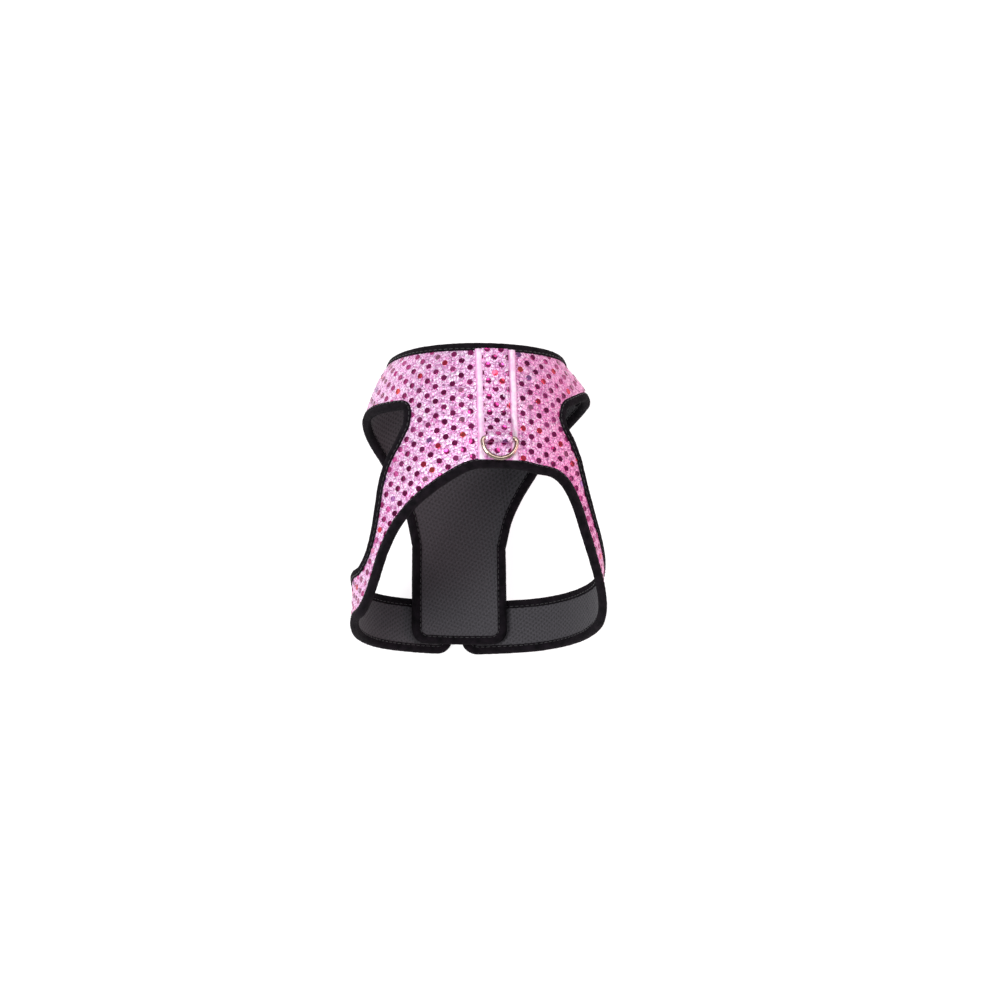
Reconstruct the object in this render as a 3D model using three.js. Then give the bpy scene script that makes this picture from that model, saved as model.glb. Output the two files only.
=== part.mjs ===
// A vest harness for a small dog, in the shape it takes when worn. Millimetres, +Z up.
// +Y points to the wearer's head, +Z to the back and +X to the wearer's right. The origin is on the torso
// axis, level with the neck edge on the back.
//
// The fabric follows a torso form. A place on it is (v, s): v is the angle round the torso in degrees, 0 on
// the spine, 90 on the right flank and 180 under the belly, and s is the distance from the neck edge towards
// the tail. Every layer is a height n above that form.
import * as THREE from "three";

// ---- torso form ----
const FORM = {
  side: { atNeck: 42.7, gain: 19.7, fade: 25 },
  back: { atNeck: 51.8, gain: 9, fade: 50 },
  belly: { atNeck: 46, gain: 17, fade: 35 },
};
const NECK_TILT = 0.08; // the throat side of the neck edge sits further forward
const TILT_FADE = 45;
const DRIFT = 8; // degrees that the cloth between spine and flanks is drawn round to the left
const SWAY = 12; // millimetres that it is drawn back on the left and forward on the right, near the hem
const GATHER = 9; // millimetres that the right shoulder strap is gathered up towards the neck

// ---- layers ----
const GAP = 0.3;
const LINING_THICKNESS = 1.5;
const SHELL_THICKNESS = 0.7;
const SHELL_BASE = LINING_THICKNESS + GAP;
const VEST_THICKNESS = SHELL_BASE + SHELL_THICKNESS;
const PATCH_THICKNESS = 0.9;
const WEBBING_THICKNESS = 1;
const COVER_THICKNESS = 0.8;
const LOOP_PATCH_BASE = VEST_THICKNESS + GAP;
const HOOK_PATCH_BASE = LOOP_PATCH_BASE + PATCH_THICKNESS + GAP;
const WING_LIFT = HOOK_PATCH_BASE + PATCH_THICKNESS + GAP; // wings lie this high over the chest tab

// ---- binding: a tape folded round every edge of the vest ----
const BINDING = { leg: 3.3, reach: 1.3, foldGap: 0.4, clearance: 0.35, wall: 0.6 };

// ---- vest outline ----
const NECK_CORNER_V = 43.5;
const SHOULDER_SEAM_V = 92;
const FLANK_V = 90;
const HEM_CORNER_V = 24;
const SEAM_HALF_GAP_V = 0.4;
const TAB_EDGE_V = 157.5;
const TAB_END_S = 132;
const CHEST_WAIST_S = 82;
const BINDING_JOIN_S = 102; // where an armhole's binding meets the tab's
const WING_END_V = 176.6;
const CORNER_RADIUS = 6.5;
const MM_PER_DEGREE = 1.09;

// ---- leash ring and the strap that holds it ----
const RING = { wireRadius: 1.1, innerWidth: 15, cornerRadius: 1.6, s: 50.3, n: 6.6, droop: 3 };
const BOW_FACETS = 13;
const WEBBING_WIDTH = 20;
const COVER_WIDTH = 14;
const COVER_START_S = 3.8;

// ---- torso form functions ----
const radians = THREE.MathUtils.degToRad;
const swell = ({ atNeck, gain, fade }, s) => atNeck + gain * (1 - Math.exp(-s / fade));

const { smoothstep } = THREE.MathUtils;

// share of the drawing that the cloth gets at an angle: none on the spine and past the flanks
function drawn(v) {
  const away = Math.abs(v);
  return smoothstep(away, 8, 45) * (1 - smoothstep(away, 50, 95));
}

const turned = (v, s) => v - DRIFT * drawn(v) * smoothstep(s, 5, 60);

function swayed(v, s) {
  const gatherShare = smoothstep(v, 38, 72) * (1 - smoothstep(v, 110, 160));
  const gather = GATHER * gatherShare * smoothstep(s, 3, 28) * (1 - smoothstep(s, 30, 60));
  return Math.sign(v) * SWAY * drawn(v) * smoothstep(s, 20, 90) + gather;
}

function formPoint(v, s) {
  const angle = radians(turned(v, s));
  const across = Math.sin(angle);
  const up = Math.cos(angle);
  const back = swell(FORM.back, s);
  const z = (up > 0 ? back : swell(FORM.belly, s)) * up;
  const tilt = NECK_TILT * (back - z) * Math.exp(-s / TILT_FADE);
  return new THREE.Vector3(swell(FORM.side, s) * across, -s + tilt + swayed(v, s), z);
}

function formSlopes(v, s) {
  const step = 0.05;
  const alongV = formPoint(v + step, s).sub(formPoint(v - step, s)).divideScalar(2 * step);
  const alongS = formPoint(v, s + step).sub(formPoint(v, s - step)).divideScalar(2 * step);
  return { alongV, alongS };
}

function formNormal(v, s) {
  const { alongV, alongS } = formSlopes(v, s);
  return alongS.cross(alongV).normalize();
}

// a wing rises from the torso form to lie over the chest tab
function wingLift(v) {
  return WING_LIFT * smoothstep(Math.abs(v), 100, 148);
}

const noLift = () => 0;

function layerPoint([v, s], n, lift = noLift) {
  return formPoint(v, s).addScaledVector(formNormal(v, s), n + lift(v));
}

// moves a place on the form by a small step given in millimetres
function stepOnForm([v, s], step) {
  const { alongV, alongS } = formSlopes(v, s);
  const vv = alongV.dot(alongV);
  const vs = alongV.dot(alongS);
  const ss = alongS.dot(alongS);
  const determinant = vv * ss - vs * vs;
  const stepV = step.dot(alongV);
  const stepS = step.dot(alongS);
  return [v + (stepV * ss - stepS * vs) / determinant, s + (stepS * vv - stepV * vs) / determinant];
}

// ---- solids ----
function signedVolume(points, triangles) {
  return triangles.reduce((sum, [a, b, c]) => {
    return sum + points[a].dot(new THREE.Vector3().crossVectors(points[b], points[c])) / 6;
  }, 0);
}

function solidGeometry(points, triangles) {
  const outward = signedVolume(points, triangles) > 0;
  const faces = outward ? triangles : triangles.map(([a, b, c]) => [a, c, b]);
  const geometry = new THREE.BufferGeometry();
  geometry.setAttribute("position", new THREE.Float32BufferAttribute(points.flatMap((p) => p.toArray()), 3));
  geometry.setIndex(faces.flat());
  geometry.computeVertexNormals();
  return geometry;
}

// joins rings of points into a tube, closed on itself or capped at both ends
function loft(rings, outline, closed = false) {
  const size = rings[0].length;
  const triangles = [];
  const last = closed ? rings.length : rings.length - 1;
  for (let ring = 0; ring < last; ring += 1) {
    const here = ring * size;
    const next = ((ring + 1) % rings.length) * size;
    for (let side = 0; side < size; side += 1) {
      const after = (side + 1) % size;
      triangles.push([here + side, here + after, next + after], [here + side, next + after, next + side]);
    }
  }
  if (!closed) {
    const end = (rings.length - 1) * size;
    const clockwise = THREE.ShapeUtils.isClockWise(outline);
    for (const [a, b, c] of THREE.ShapeUtils.triangulateShape(outline, [])) {
      const startCap = clockwise ? [a, b, c] : [a, c, b];
      const endCap = clockwise ? [a, c, b] : [a, b, c];
      triangles.push(startCap, endCap.map((index) => index + end));
    }
  }
  return solidGeometry(rings.flat(), triangles);
}

// a layer of fabric: patches of places on the form, welded where they meet, between two heights
function fabricLayer(patches, base, thickness, lift = noLift) {
  const places = [];
  const known = new Map();
  const indexOf = ([v, s]) => {
    const key = `${v.toFixed(4)} ${s.toFixed(4)}`;
    if (!known.has(key)) {
      known.set(key, places.length);
      places.push([v, s]);
    }
    return known.get(key);
  };
  const top = [];
  for (const rows of patches) {
    for (let row = 0; row + 1 < rows.length; row += 1) {
      for (let column = 0; column + 1 < rows[row].length; column += 1) {
        const corners = [
          rows[row][column],
          rows[row][column + 1],
          rows[row + 1][column + 1],
          rows[row + 1][column],
        ];
        const [a, b, c, d] = corners.map(indexOf);
        top.push([a, b, c], [a, c, d]);
      }
    }
  }
  const count = places.length;
  const edges = new Map();
  for (const [a, b, c] of top) {
    for (const [from, to] of [[a, b], [b, c], [c, a]]) {
      if (!edges.delete(`${to} ${from}`)) edges.set(`${from} ${to}`, [from, to]);
    }
  }
  const walls = [...edges.values()].flatMap(([from, to]) => [
    [to, from, from + count],
    [to, from + count, to + count],
  ]);
  const bottom = top.map(([a, b, c]) => [a + count, c + count, b + count]);
  const points = [base + thickness, base].flatMap((n) => places.map((place) => layerPoint(place, n, lift)));
  return solidGeometry(points, [...top, ...bottom, ...walls]);
}

// ---- outlines ----
const mirror = (line) => line.map(([v, s]) => [-v, s]);
const between = (a, b, share) => [a[0] + (b[0] - a[0]) * share, a[1] + (b[1] - a[1]) * share];

function smoothLine(points, steps) {
  const curve = new THREE.CatmullRomCurve3(points.map(([v, s]) => new THREE.Vector3(v, s, 0)));
  return curve.getSpacedPoints(steps).map(({ x, y }) => [x, y]);
}

// rows of places between two lines with the same number of points
function ruledPatch(first, second, rows) {
  return Array.from({ length: rows + 1 }, (_, row) => {
    return first.map((place, i) => between(place, second[i], row / rows));
  });
}

const straightLine = (from, to, steps) =>
  Array.from({ length: steps + 1 }, (_, i) => between(from, to, i / steps));

// the wing end and the tab end turn their corners on a radius
function roundedCorner(edgeV, endS, towardsS, steps) {
  return Array.from({ length: steps + 1 }, (_, i) => {
    const angle = (Math.PI / 2) * (i / steps);
    const v = edgeV - (CORNER_RADIUS / MM_PER_DEGREE) * (1 - Math.sin(angle));
    return [v, endS + towardsS * CORNER_RADIUS * (1 - Math.cos(angle))];
  });
}

const FLANK_BACK_V = FLANK_V - SEAM_HALF_GAP_V;
const FLANK_WING_V = FLANK_V + SEAM_HALF_GAP_V;
const SEAM_BACK_V = SHOULDER_SEAM_V - SEAM_HALF_GAP_V;
const SEAM_CHEST_V = SHOULDER_SEAM_V + SEAM_HALF_GAP_V;
const ARMHOLE_CORNER = [43.8, 30.6];
const WING_ROOT_FRONT_S = 107.5;
const WING_ROOT_REAR_S = 131;

const CENTRE_COLUMNS = 12;
const SHOULDER_ROWS = 4;
const HEM_ROWS = 5;

const neckCentre = straightLine([-NECK_CORNER_V, 0], [NECK_CORNER_V, 0], CENTRE_COLUMNS);
const cornerLine = straightLine(mirror([ARMHOLE_CORNER])[0], ARMHOLE_CORNER, CENTRE_COLUMNS);
const hemHalf = smoothLine([[0, 63], [12, 63.6], [HEM_CORNER_V, 68.4]], CENTRE_COLUMNS / 2);
const hemCentre = [...mirror(hemHalf).reverse().slice(0, -1), ...hemHalf];

const strapEdge = [
  ARMHOLE_CORNER,
  [45.8, 29.4],
  ...smoothLine([[50.5, 28.8], [70, 28.1], [SEAM_BACK_V, 28.2]], 5),
];
const strapNeck = straightLine([NECK_CORNER_V, 0], [SEAM_BACK_V, 0], strapEdge.length - 1);

const armholeRear = [
  ARMHOLE_CORNER,
  [42.4, 33.4],
  ...smoothLine([
    [41.6, 38],
    [44, 43.8],
    [49.3, 52.4],
    [53, 61.5],
    [55.2, 71],
    [58.5, 82],
    [64.5, 93],
    [75, 102.5],
    [FLANK_BACK_V, WING_ROOT_FRONT_S],
  ], 12),
];
const hemSide = smoothLine([
  [HEM_CORNER_V, 68.4],
  [33, 73],
  [41.5, 80],
  [49, 90.5],
  [56.5, 105],
  [65, 117],
  [76.5, 126],
  [FLANK_BACK_V, WING_ROOT_REAR_S],
], armholeRear.length - 1);

const CHEST_STEPS = 9;
const WAIST_ROWS = 8;
const TAB_ROWS = 5;
const chestEdge = smoothLine([
  [SEAM_CHEST_V, 28.2],
  [106, 30.6],
  [121, 35.4],
  [135, 42.8],
  [146, 53.5],
  [153.5, 66.8],
  [TAB_EDGE_V, CHEST_WAIST_S],
], CHEST_STEPS);
const chestNeck = straightLine([SEAM_CHEST_V, 0], [TAB_EDGE_V, 0], CHEST_STEPS);
const CORNER_STEPS = 3;
const tabCorner = roundedCorner(360 - TAB_EDGE_V, TAB_END_S, -1, CORNER_STEPS);
const throughBelly = (line) => line.map(([v, s]) => [360 - v, s]);

const wingFrontCorner = roundedCorner(WING_END_V, 110.5, 1, CORNER_STEPS);
const wingRearCorner = roundedCorner(WING_END_V, 136.5, -1, CORNER_STEPS);
const WING_STEPS = 9;
const wingFront = [
  ...smoothLine(
    [[FLANK_WING_V, WING_ROOT_FRONT_S], [105, 109.2], [135, 110.4], wingFrontCorner[0]],
    WING_STEPS,
  ),
  ...wingFrontCorner.slice(1),
];
const wingRear = [
  ...smoothLine([[FLANK_WING_V, WING_ROOT_REAR_S], [105, 134], [135, 136], wingRearCorner[0]], WING_STEPS),
  ...wingRearCorner.slice(1),
];
const WING_ROWS = 3;

// ---- fabric panels ----
function backPanelPatches() {
  const side = [ruledPatch(strapNeck, strapEdge, SHOULDER_ROWS), ruledPatch(armholeRear, hemSide, HEM_ROWS)];
  const opposite = side.map((rows) => rows.map((row) => mirror(row).reverse()));
  return [
    ruledPatch(neckCentre, cornerLine, SHOULDER_ROWS),
    ruledPatch(cornerLine, hemCentre, HEM_ROWS),
    ...side,
    ...opposite,
  ];
}

function chestPanelPatches() {
  const side = ruledPatch(chestNeck, chestEdge, WAIST_ROWS);
  const tabSteps = 6;
  const neckFront = straightLine([TAB_EDGE_V, 0], [360 - TAB_EDGE_V, 0], tabSteps);
  const waist = straightLine([TAB_EDGE_V, CHEST_WAIST_S], [360 - TAB_EDGE_V, CHEST_WAIST_S], tabSteps);
  const tabTop = waist.map(([v]) => [v, TAB_END_S - CORNER_RADIUS]);
  return [
    side,
    side.map((row) => throughBelly(row).reverse()),
    ruledPatch(neckFront, waist, WAIST_ROWS),
    ruledPatch(waist, tabTop, TAB_ROWS),
    ...tabEndPatch(tabTop),
  ];
}

// the tab's end narrows on its corner arcs, row by row
function tabEndPatch(tabTop) {
  const rows = tabCorner.slice().reverse().map(([v, s]) => {
    const half = v - 180;
    return tabTop.map(([topV]) => [180 + ((topV - 180) * half) / (180 - TAB_EDGE_V), s]);
  });
  return [rows];
}

const wingPatch = () => [ruledPatch(wingFront, wingRear, WING_ROWS)];

// ---- binding ----
const LEG_TOP = VEST_THICKNESS + BINDING.clearance;
const bindingOutline = [
  [-BINDING.leg, LEG_TOP],
  [BINDING.foldGap, LEG_TOP],
  [BINDING.foldGap, -BINDING.clearance],
  [-BINDING.leg, -BINDING.clearance],
  [-BINDING.leg, -BINDING.clearance - BINDING.wall],
  [BINDING.foldGap, -BINDING.clearance - BINDING.wall],
  [BINDING.reach, 0],
  [BINDING.reach, VEST_THICKNESS],
  [BINDING.foldGap, LEG_TOP + BINDING.wall],
  [-BINDING.leg, LEG_TOP + BINDING.wall],
].map(([out, n]) => new THREE.Vector2(out, n));

// the folded tape along a line of places, its fold on the side that outwardSign picks
function bindingAlong(line, outwardSign, { closed = false, lift = noLift } = {}) {
  const count = line.length;
  const rings = line.map((place, i) => {
    const before = line[closed ? (i + count - 1) % count : Math.max(i - 1, 0)];
    const after = line[closed ? (i + 1) % count : Math.min(i + 1, count - 1)];
    const tangent = layerPoint(after, 0).sub(layerPoint(before, 0));
    const outward = tangent.cross(formNormal(...place)).normalize().multiplyScalar(outwardSign);
    return bindingOutline.map(({ x, y }) => {
      const moved = stepOnForm(place, outward.clone().multiplyScalar(x));
      return layerPoint(moved, y, lift);
    });
  });
  return loft(rings, bindingOutline, closed);
}

function neckLine() {
  const chest = [...chestNeck, ...straightLine([TAB_EDGE_V, 0], [180, 0], 3).slice(1)];
  const half = [...neckCentre.slice(CENTRE_COLUMNS / 2), ...strapNeck.slice(1), ...chest];
  return [...half, ...throughBelly(half).reverse().slice(1, -1)];
}

function armholeLine() {
  const tabStart = straightLine([TAB_EDGE_V, CHEST_WAIST_S], [TAB_EDGE_V, BINDING_JOIN_S - GAP], 2).slice(1);
  return [...armholeRear.slice().reverse(), ...strapEdge.slice(1), ...chestEdge, ...tabStart];
}

function tabLine() {
  const side = straightLine([TAB_EDGE_V, BINDING_JOIN_S + GAP], [TAB_EDGE_V, TAB_END_S - CORNER_RADIUS], 2);
  const corner = throughBelly(tabCorner).reverse().slice(1);
  const end = straightLine(corner.at(-1), [180, TAB_END_S], 2).slice(1);
  const half = [...side, ...corner, ...end];
  return [...half, ...throughBelly(half).reverse().slice(1)];
}

function wingLine() {
  const end = straightLine(wingFront.at(-1), wingRear.at(-1), WING_ROWS).slice(1, -1);
  return [...wingFront, ...end, ...wingRear.slice().reverse()];
}

// ---- webbing, patches and tapes ----
// half of a width across the spine, as an angle, at a height above the form
const halfAngle = (width, s, n) => THREE.MathUtils.radToDeg(width / 2 / (swell(FORM.side, s) + n));

// a band of fabric along the spine with a constant width
function spineBand(width, fromS, toS, columns, rows, n) {
  return Array.from({ length: rows + 1 }, (_, row) => {
    const s = fromS + ((toS - fromS) * row) / rows;
    const halfV = halfAngle(width, s, n);
    return straightLine([-halfV, s], [halfV, s], columns);
  });
}

const rectangle = (fromV, toV, fromS, toS, columns, rows) =>
  ruledPatch(
    straightLine([fromV, fromS], [toV, fromS], columns),
    straightLine([fromV, toS], [toV, toS], columns),
    rows,
  );

// the covering strip runs down the webbing, round the ring's bar and back under itself
function strapCover() {
  const low = VEST_THICKNESS + WEBBING_THICKNESS + 2 * GAP + COVER_THICKNESS / 2;
  const high = low + COVER_THICKNESS + GAP;
  const wrap = RING.wireRadius + 0.4 + COVER_THICKNESS / 2;
  const around = [105, 60, 15, -30, -65].map((degrees) => [
    RING.s + wrap * Math.cos(radians(degrees)),
    RING.n + wrap * Math.sin(radians(degrees)),
  ]);
  const path = [
    [COVER_START_S, low],
    [14, low],
    [25, low],
    [36, low],
    [RING.s - 8, high],
    [RING.s - 4.2, high + 0.9],
    ...around,
    [RING.s - 1.4, low],
    [RING.s - 7, low],
  ];
  const side = (sign) => path.map(([s, n], i) => {
    const [beforeS, beforeN] = path[Math.max(i - 1, 0)];
    const [afterS, afterN] = path[Math.min(i + 1, path.length - 1)];
    const length = Math.hypot(afterS - beforeS, afterN - beforeN);
    const half = (sign * COVER_THICKNESS) / 2;
    const acrossS = (half * (afterN - beforeN)) / length;
    const acrossN = (half * (afterS - beforeS)) / length;
    return new THREE.Vector2(s - acrossS, n + acrossN);
  });
  const outline = [...side(1), ...side(-1).reverse()];
  const rings = [-1, -1 / 3, 1 / 3, 1].map((share) => outline.map(({ x: s, y: n }) => {
    return layerPoint([share * halfAngle(COVER_WIDTH, s, n), s], n);
  }));
  return loft(rings, outline);
}

// ---- leash ring ----
// the ring is drawn flat, with its straight bar on the local X axis and its bow towards -Y; the bow has an
// odd number of facets, so that one faces the bar squarely
function ringLine() {
  const half = RING.innerWidth / 2 + RING.wireRadius;
  const corner = [90, 45, 0].map((degrees) => new THREE.Vector2(
    half - RING.cornerRadius * (1 - Math.cos(radians(degrees))),
    -RING.cornerRadius * (1 - Math.sin(radians(degrees))),
  ));
  const bow = Array.from({ length: BOW_FACETS - 1 }, (_, i) => {
    const angle = (-Math.PI * (i + 1)) / BOW_FACETS;
    return new THREE.Vector2(half * Math.cos(angle), -RING.cornerRadius + half * Math.sin(angle));
  });
  const opposite = corner.map(({ x, y }) => new THREE.Vector2(-x, y)).reverse();
  return [...corner, ...bow, ...opposite];
}

function ringGeometry() {
  const sides = 8;
  const line = ringLine();
  const outline = Array.from({ length: sides }, (_, i) => {
    const angle = (2 * Math.PI * (i + 0.5)) / sides;
    return new THREE.Vector2(RING.wireRadius * Math.cos(angle), RING.wireRadius * Math.sin(angle));
  });
  const rings = line.map((point, i) => {
    const before = line[(i + line.length - 1) % line.length];
    const after = line[(i + 1) % line.length];
    const tangent = after.clone().sub(before).normalize();
    return outline.map(({ x, y }) => new THREE.Vector3(point.x - tangent.y * x, point.y + tangent.x * x, y));
  });
  return loft(rings, outline, true);
}

// ---- materials ----
const material = (color, roughness, metalness) =>
  new THREE.MeshStandardMaterial({ color, roughness, metalness });
const sequinFabric = material(0xe88fc4, 0.4, 0.2);
const meshLining = material(0x2c292e, 0.95, 0);
const bindingTape = material(0x17131a, 0.85, 0);
const paleWebbing = material(0xf8d8ea, 0.7, 0);
const hookTape = material(0x1c1a1f, 0.95, 0);
const thread = material(0xf0b4d6, 0.7, 0);
const nickel = material(0xb9aea4, 0.25, 1);
const labelSatin = material(0xf4f1f2, 0.5, 0);

// ---- assembly ----
const harness = new THREE.Group();

function add(name, geometry, finish) {
  const mesh = new THREE.Mesh(geometry, finish);
  mesh.name = name;
  harness.add(mesh);
  return mesh;
}

function addLayers(name, patches, lift) {
  add(`${name}_lining`, fabricLayer(patches, 0, LINING_THICKNESS, lift), meshLining);
  add(`${name}_shell`, fabricLayer(patches, SHELL_BASE, SHELL_THICKNESS, lift), sequinFabric);
}

addLayers("back_panel", backPanelPatches());
addLayers("chest_panel", chestPanelPatches());
add("neck_binding", bindingAlong(neckLine(), -1, { closed: true }), bindingTape);

const hemLine = [...mirror(hemSide).reverse(), ...hemCentre.slice(1, -1), ...hemSide];
add("hem_binding", bindingAlong(hemLine, 1), bindingTape);
add("chest_tab_binding", bindingAlong(tabLine(), 1), bindingTape);

for (const [side, sign] of [["left", -1], ["right", 1]]) {
  const onSide = (line) => line.map(([v, s]) => [sign * v, s]);
  const patchOnSide = (rows) => rows.map(onSide);
  add(`${side}_armhole_binding`, bindingAlong(onSide(armholeLine()), sign), bindingTape);
  addLayers(`${side}_wing`, wingPatch().map(patchOnSide), wingLift);
  add(`${side}_wing_binding`, bindingAlong(onSide(wingLine()), -sign, { lift: wingLift }), bindingTape);
  const hook = patchOnSide(rectangle(164.5, 172.5, 115, 131, 2, 2));
  add(`${side}_hook_patch`, fabricLayer([hook], HOOK_PATCH_BASE, PATCH_THICKNESS), hookTape);
  const tape = patchOnSide(rectangle(SHOULDER_SEAM_V - 4, SHOULDER_SEAM_V + 4, 4.2, 23.8, 2, 3));
  add(`${side}_shoulder_tape`, fabricLayer([tape], -GAP - 0.6, 0.6), bindingTape);
}

const loopPatch = rectangle(163, 197, 113, 127, 5, 2);
add("loop_patch", fabricLayer([loopPatch], LOOP_PATCH_BASE, PATCH_THICKNESS), hookTape);

const WEBBING_BASE = VEST_THICKNESS + GAP;
const webbing = spineBand(WEBBING_WIDTH, COVER_START_S, 59.3, 3, 7, WEBBING_BASE);
add("back_webbing", fabricLayer([webbing], WEBBING_BASE, WEBBING_THICKNESS), paleWebbing);
add("strap_cover", strapCover(), sequinFabric);
const WEBBING_TOP = WEBBING_BASE + WEBBING_THICKNESS;
const TACK_THICKNESS = 0.4;
const ringTack = spineBand(12, 33, 34.4, 2, 1, WEBBING_TOP);
const ringTackBase = WEBBING_TOP + COVER_THICKNESS + 2 * GAP;
add("ring_bartack", fabricLayer([ringTack], ringTackBase, TACK_THICKNESS), thread);
const lowerCover = spineBand(COVER_WIDTH, RING.s + 3, 56.8, 3, 2, WEBBING_TOP);
add("lower_strap_cover", fabricLayer([lowerCover], WEBBING_TOP + GAP, 0.5), sequinFabric);
const hemTack = spineBand(18, 57.2, 58.4, 2, 1, WEBBING_TOP);
add("hem_bartack", fabricLayer([hemTack], WEBBING_TOP + GAP, TACK_THICKNESS), thread);
const label = rectangle(-8, 8, 4.4, 18.4, 2, 2);
add("care_label", fabricLayer([label], -GAP - 0.35, 0.35), labelSatin);

const ring = add("d_ring", ringGeometry(), nickel);
ring.position.copy(layerPoint([0, RING.s], RING.n));
const ringNormal = formNormal(0, RING.s);
ring.rotation.x = Math.atan2(-ringNormal.y, ringNormal.z) + radians(RING.droop);

export default harness;
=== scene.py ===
"""The looks of a small dog's sequin vest harness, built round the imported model.

Places on the fabric are (v, s), as in the model: v is the angle round the torso in degrees, 0 on the spine
and 180 under the belly, positive on the wearer's right, and s is the distance from the neck edge towards the
tail in millimetres. Heights above the torso form are in millimetres too, and a mesh is scaled to metres when
made.
"""
import math

import bpy
import numpy as np
from mathutils import Matrix, Vector, kdtree


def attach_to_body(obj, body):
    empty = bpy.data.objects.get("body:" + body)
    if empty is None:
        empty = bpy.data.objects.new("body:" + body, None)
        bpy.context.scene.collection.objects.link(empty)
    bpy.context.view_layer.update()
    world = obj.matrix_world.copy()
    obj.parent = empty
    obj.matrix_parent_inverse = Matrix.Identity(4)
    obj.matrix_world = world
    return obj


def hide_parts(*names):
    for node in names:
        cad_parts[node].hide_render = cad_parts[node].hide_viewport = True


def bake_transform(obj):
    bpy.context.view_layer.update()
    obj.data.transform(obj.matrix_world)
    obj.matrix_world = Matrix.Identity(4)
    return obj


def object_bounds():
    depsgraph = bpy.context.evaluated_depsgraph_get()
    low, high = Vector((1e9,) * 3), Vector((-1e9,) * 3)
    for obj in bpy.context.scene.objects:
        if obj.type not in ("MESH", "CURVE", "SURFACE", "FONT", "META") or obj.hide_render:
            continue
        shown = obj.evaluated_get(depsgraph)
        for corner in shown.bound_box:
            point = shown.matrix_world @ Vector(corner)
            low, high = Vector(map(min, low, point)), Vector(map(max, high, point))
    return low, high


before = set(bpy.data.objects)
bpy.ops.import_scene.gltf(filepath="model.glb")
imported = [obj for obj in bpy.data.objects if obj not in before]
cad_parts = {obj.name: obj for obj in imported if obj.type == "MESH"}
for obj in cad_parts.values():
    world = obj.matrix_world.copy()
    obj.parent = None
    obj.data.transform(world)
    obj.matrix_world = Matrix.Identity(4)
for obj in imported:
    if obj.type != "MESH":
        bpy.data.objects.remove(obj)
cad_low, cad_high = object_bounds()

MM = 0.001

# ---- torso form and outline, as in the model ----
SIDE = (42.7, 19.7, 25.0)
BACK = (51.8, 9.0, 50.0)
BELLY = (46.0, 17.0, 35.0)
NECK_TILT = 0.08
TILT_FADE = 45.0
DRIFT = 8.0
SWAY = 12.0
GATHER = 9.0

GAP = 0.3
LINING_THICKNESS = 1.5
SHELL_BASE = LINING_THICKNESS + GAP
SHELL_TOP = SHELL_BASE + 0.7
WEBBING_BASE = SHELL_TOP + GAP
WEBBING_TOP = WEBBING_BASE + 1.0
COVER_THICKNESS = 0.8
PATCH_THICKNESS = 0.9
LOOP_BASE = SHELL_TOP + GAP
HOOK_BASE = LOOP_BASE + PATCH_THICKNESS + GAP
WING_LIFT = HOOK_BASE + PATCH_THICKNESS + GAP

BINDING_LEG = 3.3
BINDING_REACH = 1.3
NECK_CORNER_V = 43.5
SHOULDER_SEAM_V = 92.0
FLANK_V = 90.0
HEM_CORNER_V = 24.0
TAB_EDGE_V = 157.5
TAB_END_S = 132.0
CHEST_WAIST_S = 82.0
WING_END_V = 176.6
CORNER_RADIUS = 6.5
MM_PER_DEGREE = 1.09

RING_WIRE = 1.1  # radius of the wire
RING_INNER = 15.0
RING_CORNER = 1.6
RING_S = 50.3
RING_N = 6.6
RING_DROOP = 3.0
BINDING_JOIN_S = 102.0  # where an armhole's binding meets the tab's

# ---- sizes of the cloth that differ a little from the model, or aren't in it ----
WEBBING_WIDTH = 20.6
WEBBING_END_S = 60.4
COVER_WIDTH = 13.6
COVER_SHIFT = -0.5  # the strip lies a little to the left of the spine
COVER_START_S = 2.6
LOWER_COVER_THICKNESS = 0.5
LOWER_COVER_END_S = 60.0
CELL = 0.8  # mesh spacing of the fine cloth
LINING_CELL = 0.62
MESH_PITCH = 2.4  # between the holes of the air mesh
MESH_HOLE_RADIUS = 0.85
MESH_HOLE_DEPTH = 0.55
RANDOM = np.random.default_rng(11)


def swell(profile, s):
    start, gain, fade = profile
    return start + gain * (1 - np.exp(-s / fade))


def smoothstep(value, start, end):
    share = np.clip((value - start) / (end - start), 0, 1)
    return share * share * (3 - 2 * share)


def drawn(v):
    """Share of the sideways drawing of the cloth: none on the spine and past the flanks."""
    away = np.abs(v)
    return smoothstep(away, 8, 45) * (1 - smoothstep(away, 50, 95))


def turned(v, s):
    return v - DRIFT * drawn(v) * smoothstep(s, 5, 60)


def swayed(v, s):
    gather_share = smoothstep(v, 38, 72) * (1 - smoothstep(v, 110, 160))
    gather = GATHER * gather_share * smoothstep(s, 3, 28) * (1 - smoothstep(s, 30, 60))
    return np.sign(v) * SWAY * drawn(v) * smoothstep(s, 20, 90) + gather


def form_point(v, s):
    """Points on the torso form, for arrays of places."""
    angle = np.radians(turned(v, s))
    across, up = np.sin(angle), np.cos(angle)
    back = swell(BACK, s)
    z = np.where(up > 0, back, swell(BELLY, s)) * up
    tilt = NECK_TILT * (back - z) * np.exp(-s / TILT_FADE)
    return np.stack([swell(SIDE, s) * across, -s + tilt + swayed(v, s), z], -1)


def form_slopes(v, s):
    step = 0.05
    along_v = (form_point(v + step, s) - form_point(v - step, s)) / (2 * step)
    along_s = (form_point(v, s + step) - form_point(v, s - step)) / (2 * step)
    return along_v, along_s


def unit(vectors):
    return vectors / np.linalg.norm(vectors, axis=-1, keepdims=True)


def form_normal(v, s):
    along_v, along_s = form_slopes(v, s)
    return unit(np.cross(along_s, along_v))


def wing_lift(v):
    return WING_LIFT * smoothstep(np.abs(v), 100, 148)


def no_lift(v):
    return np.zeros_like(v)


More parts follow.
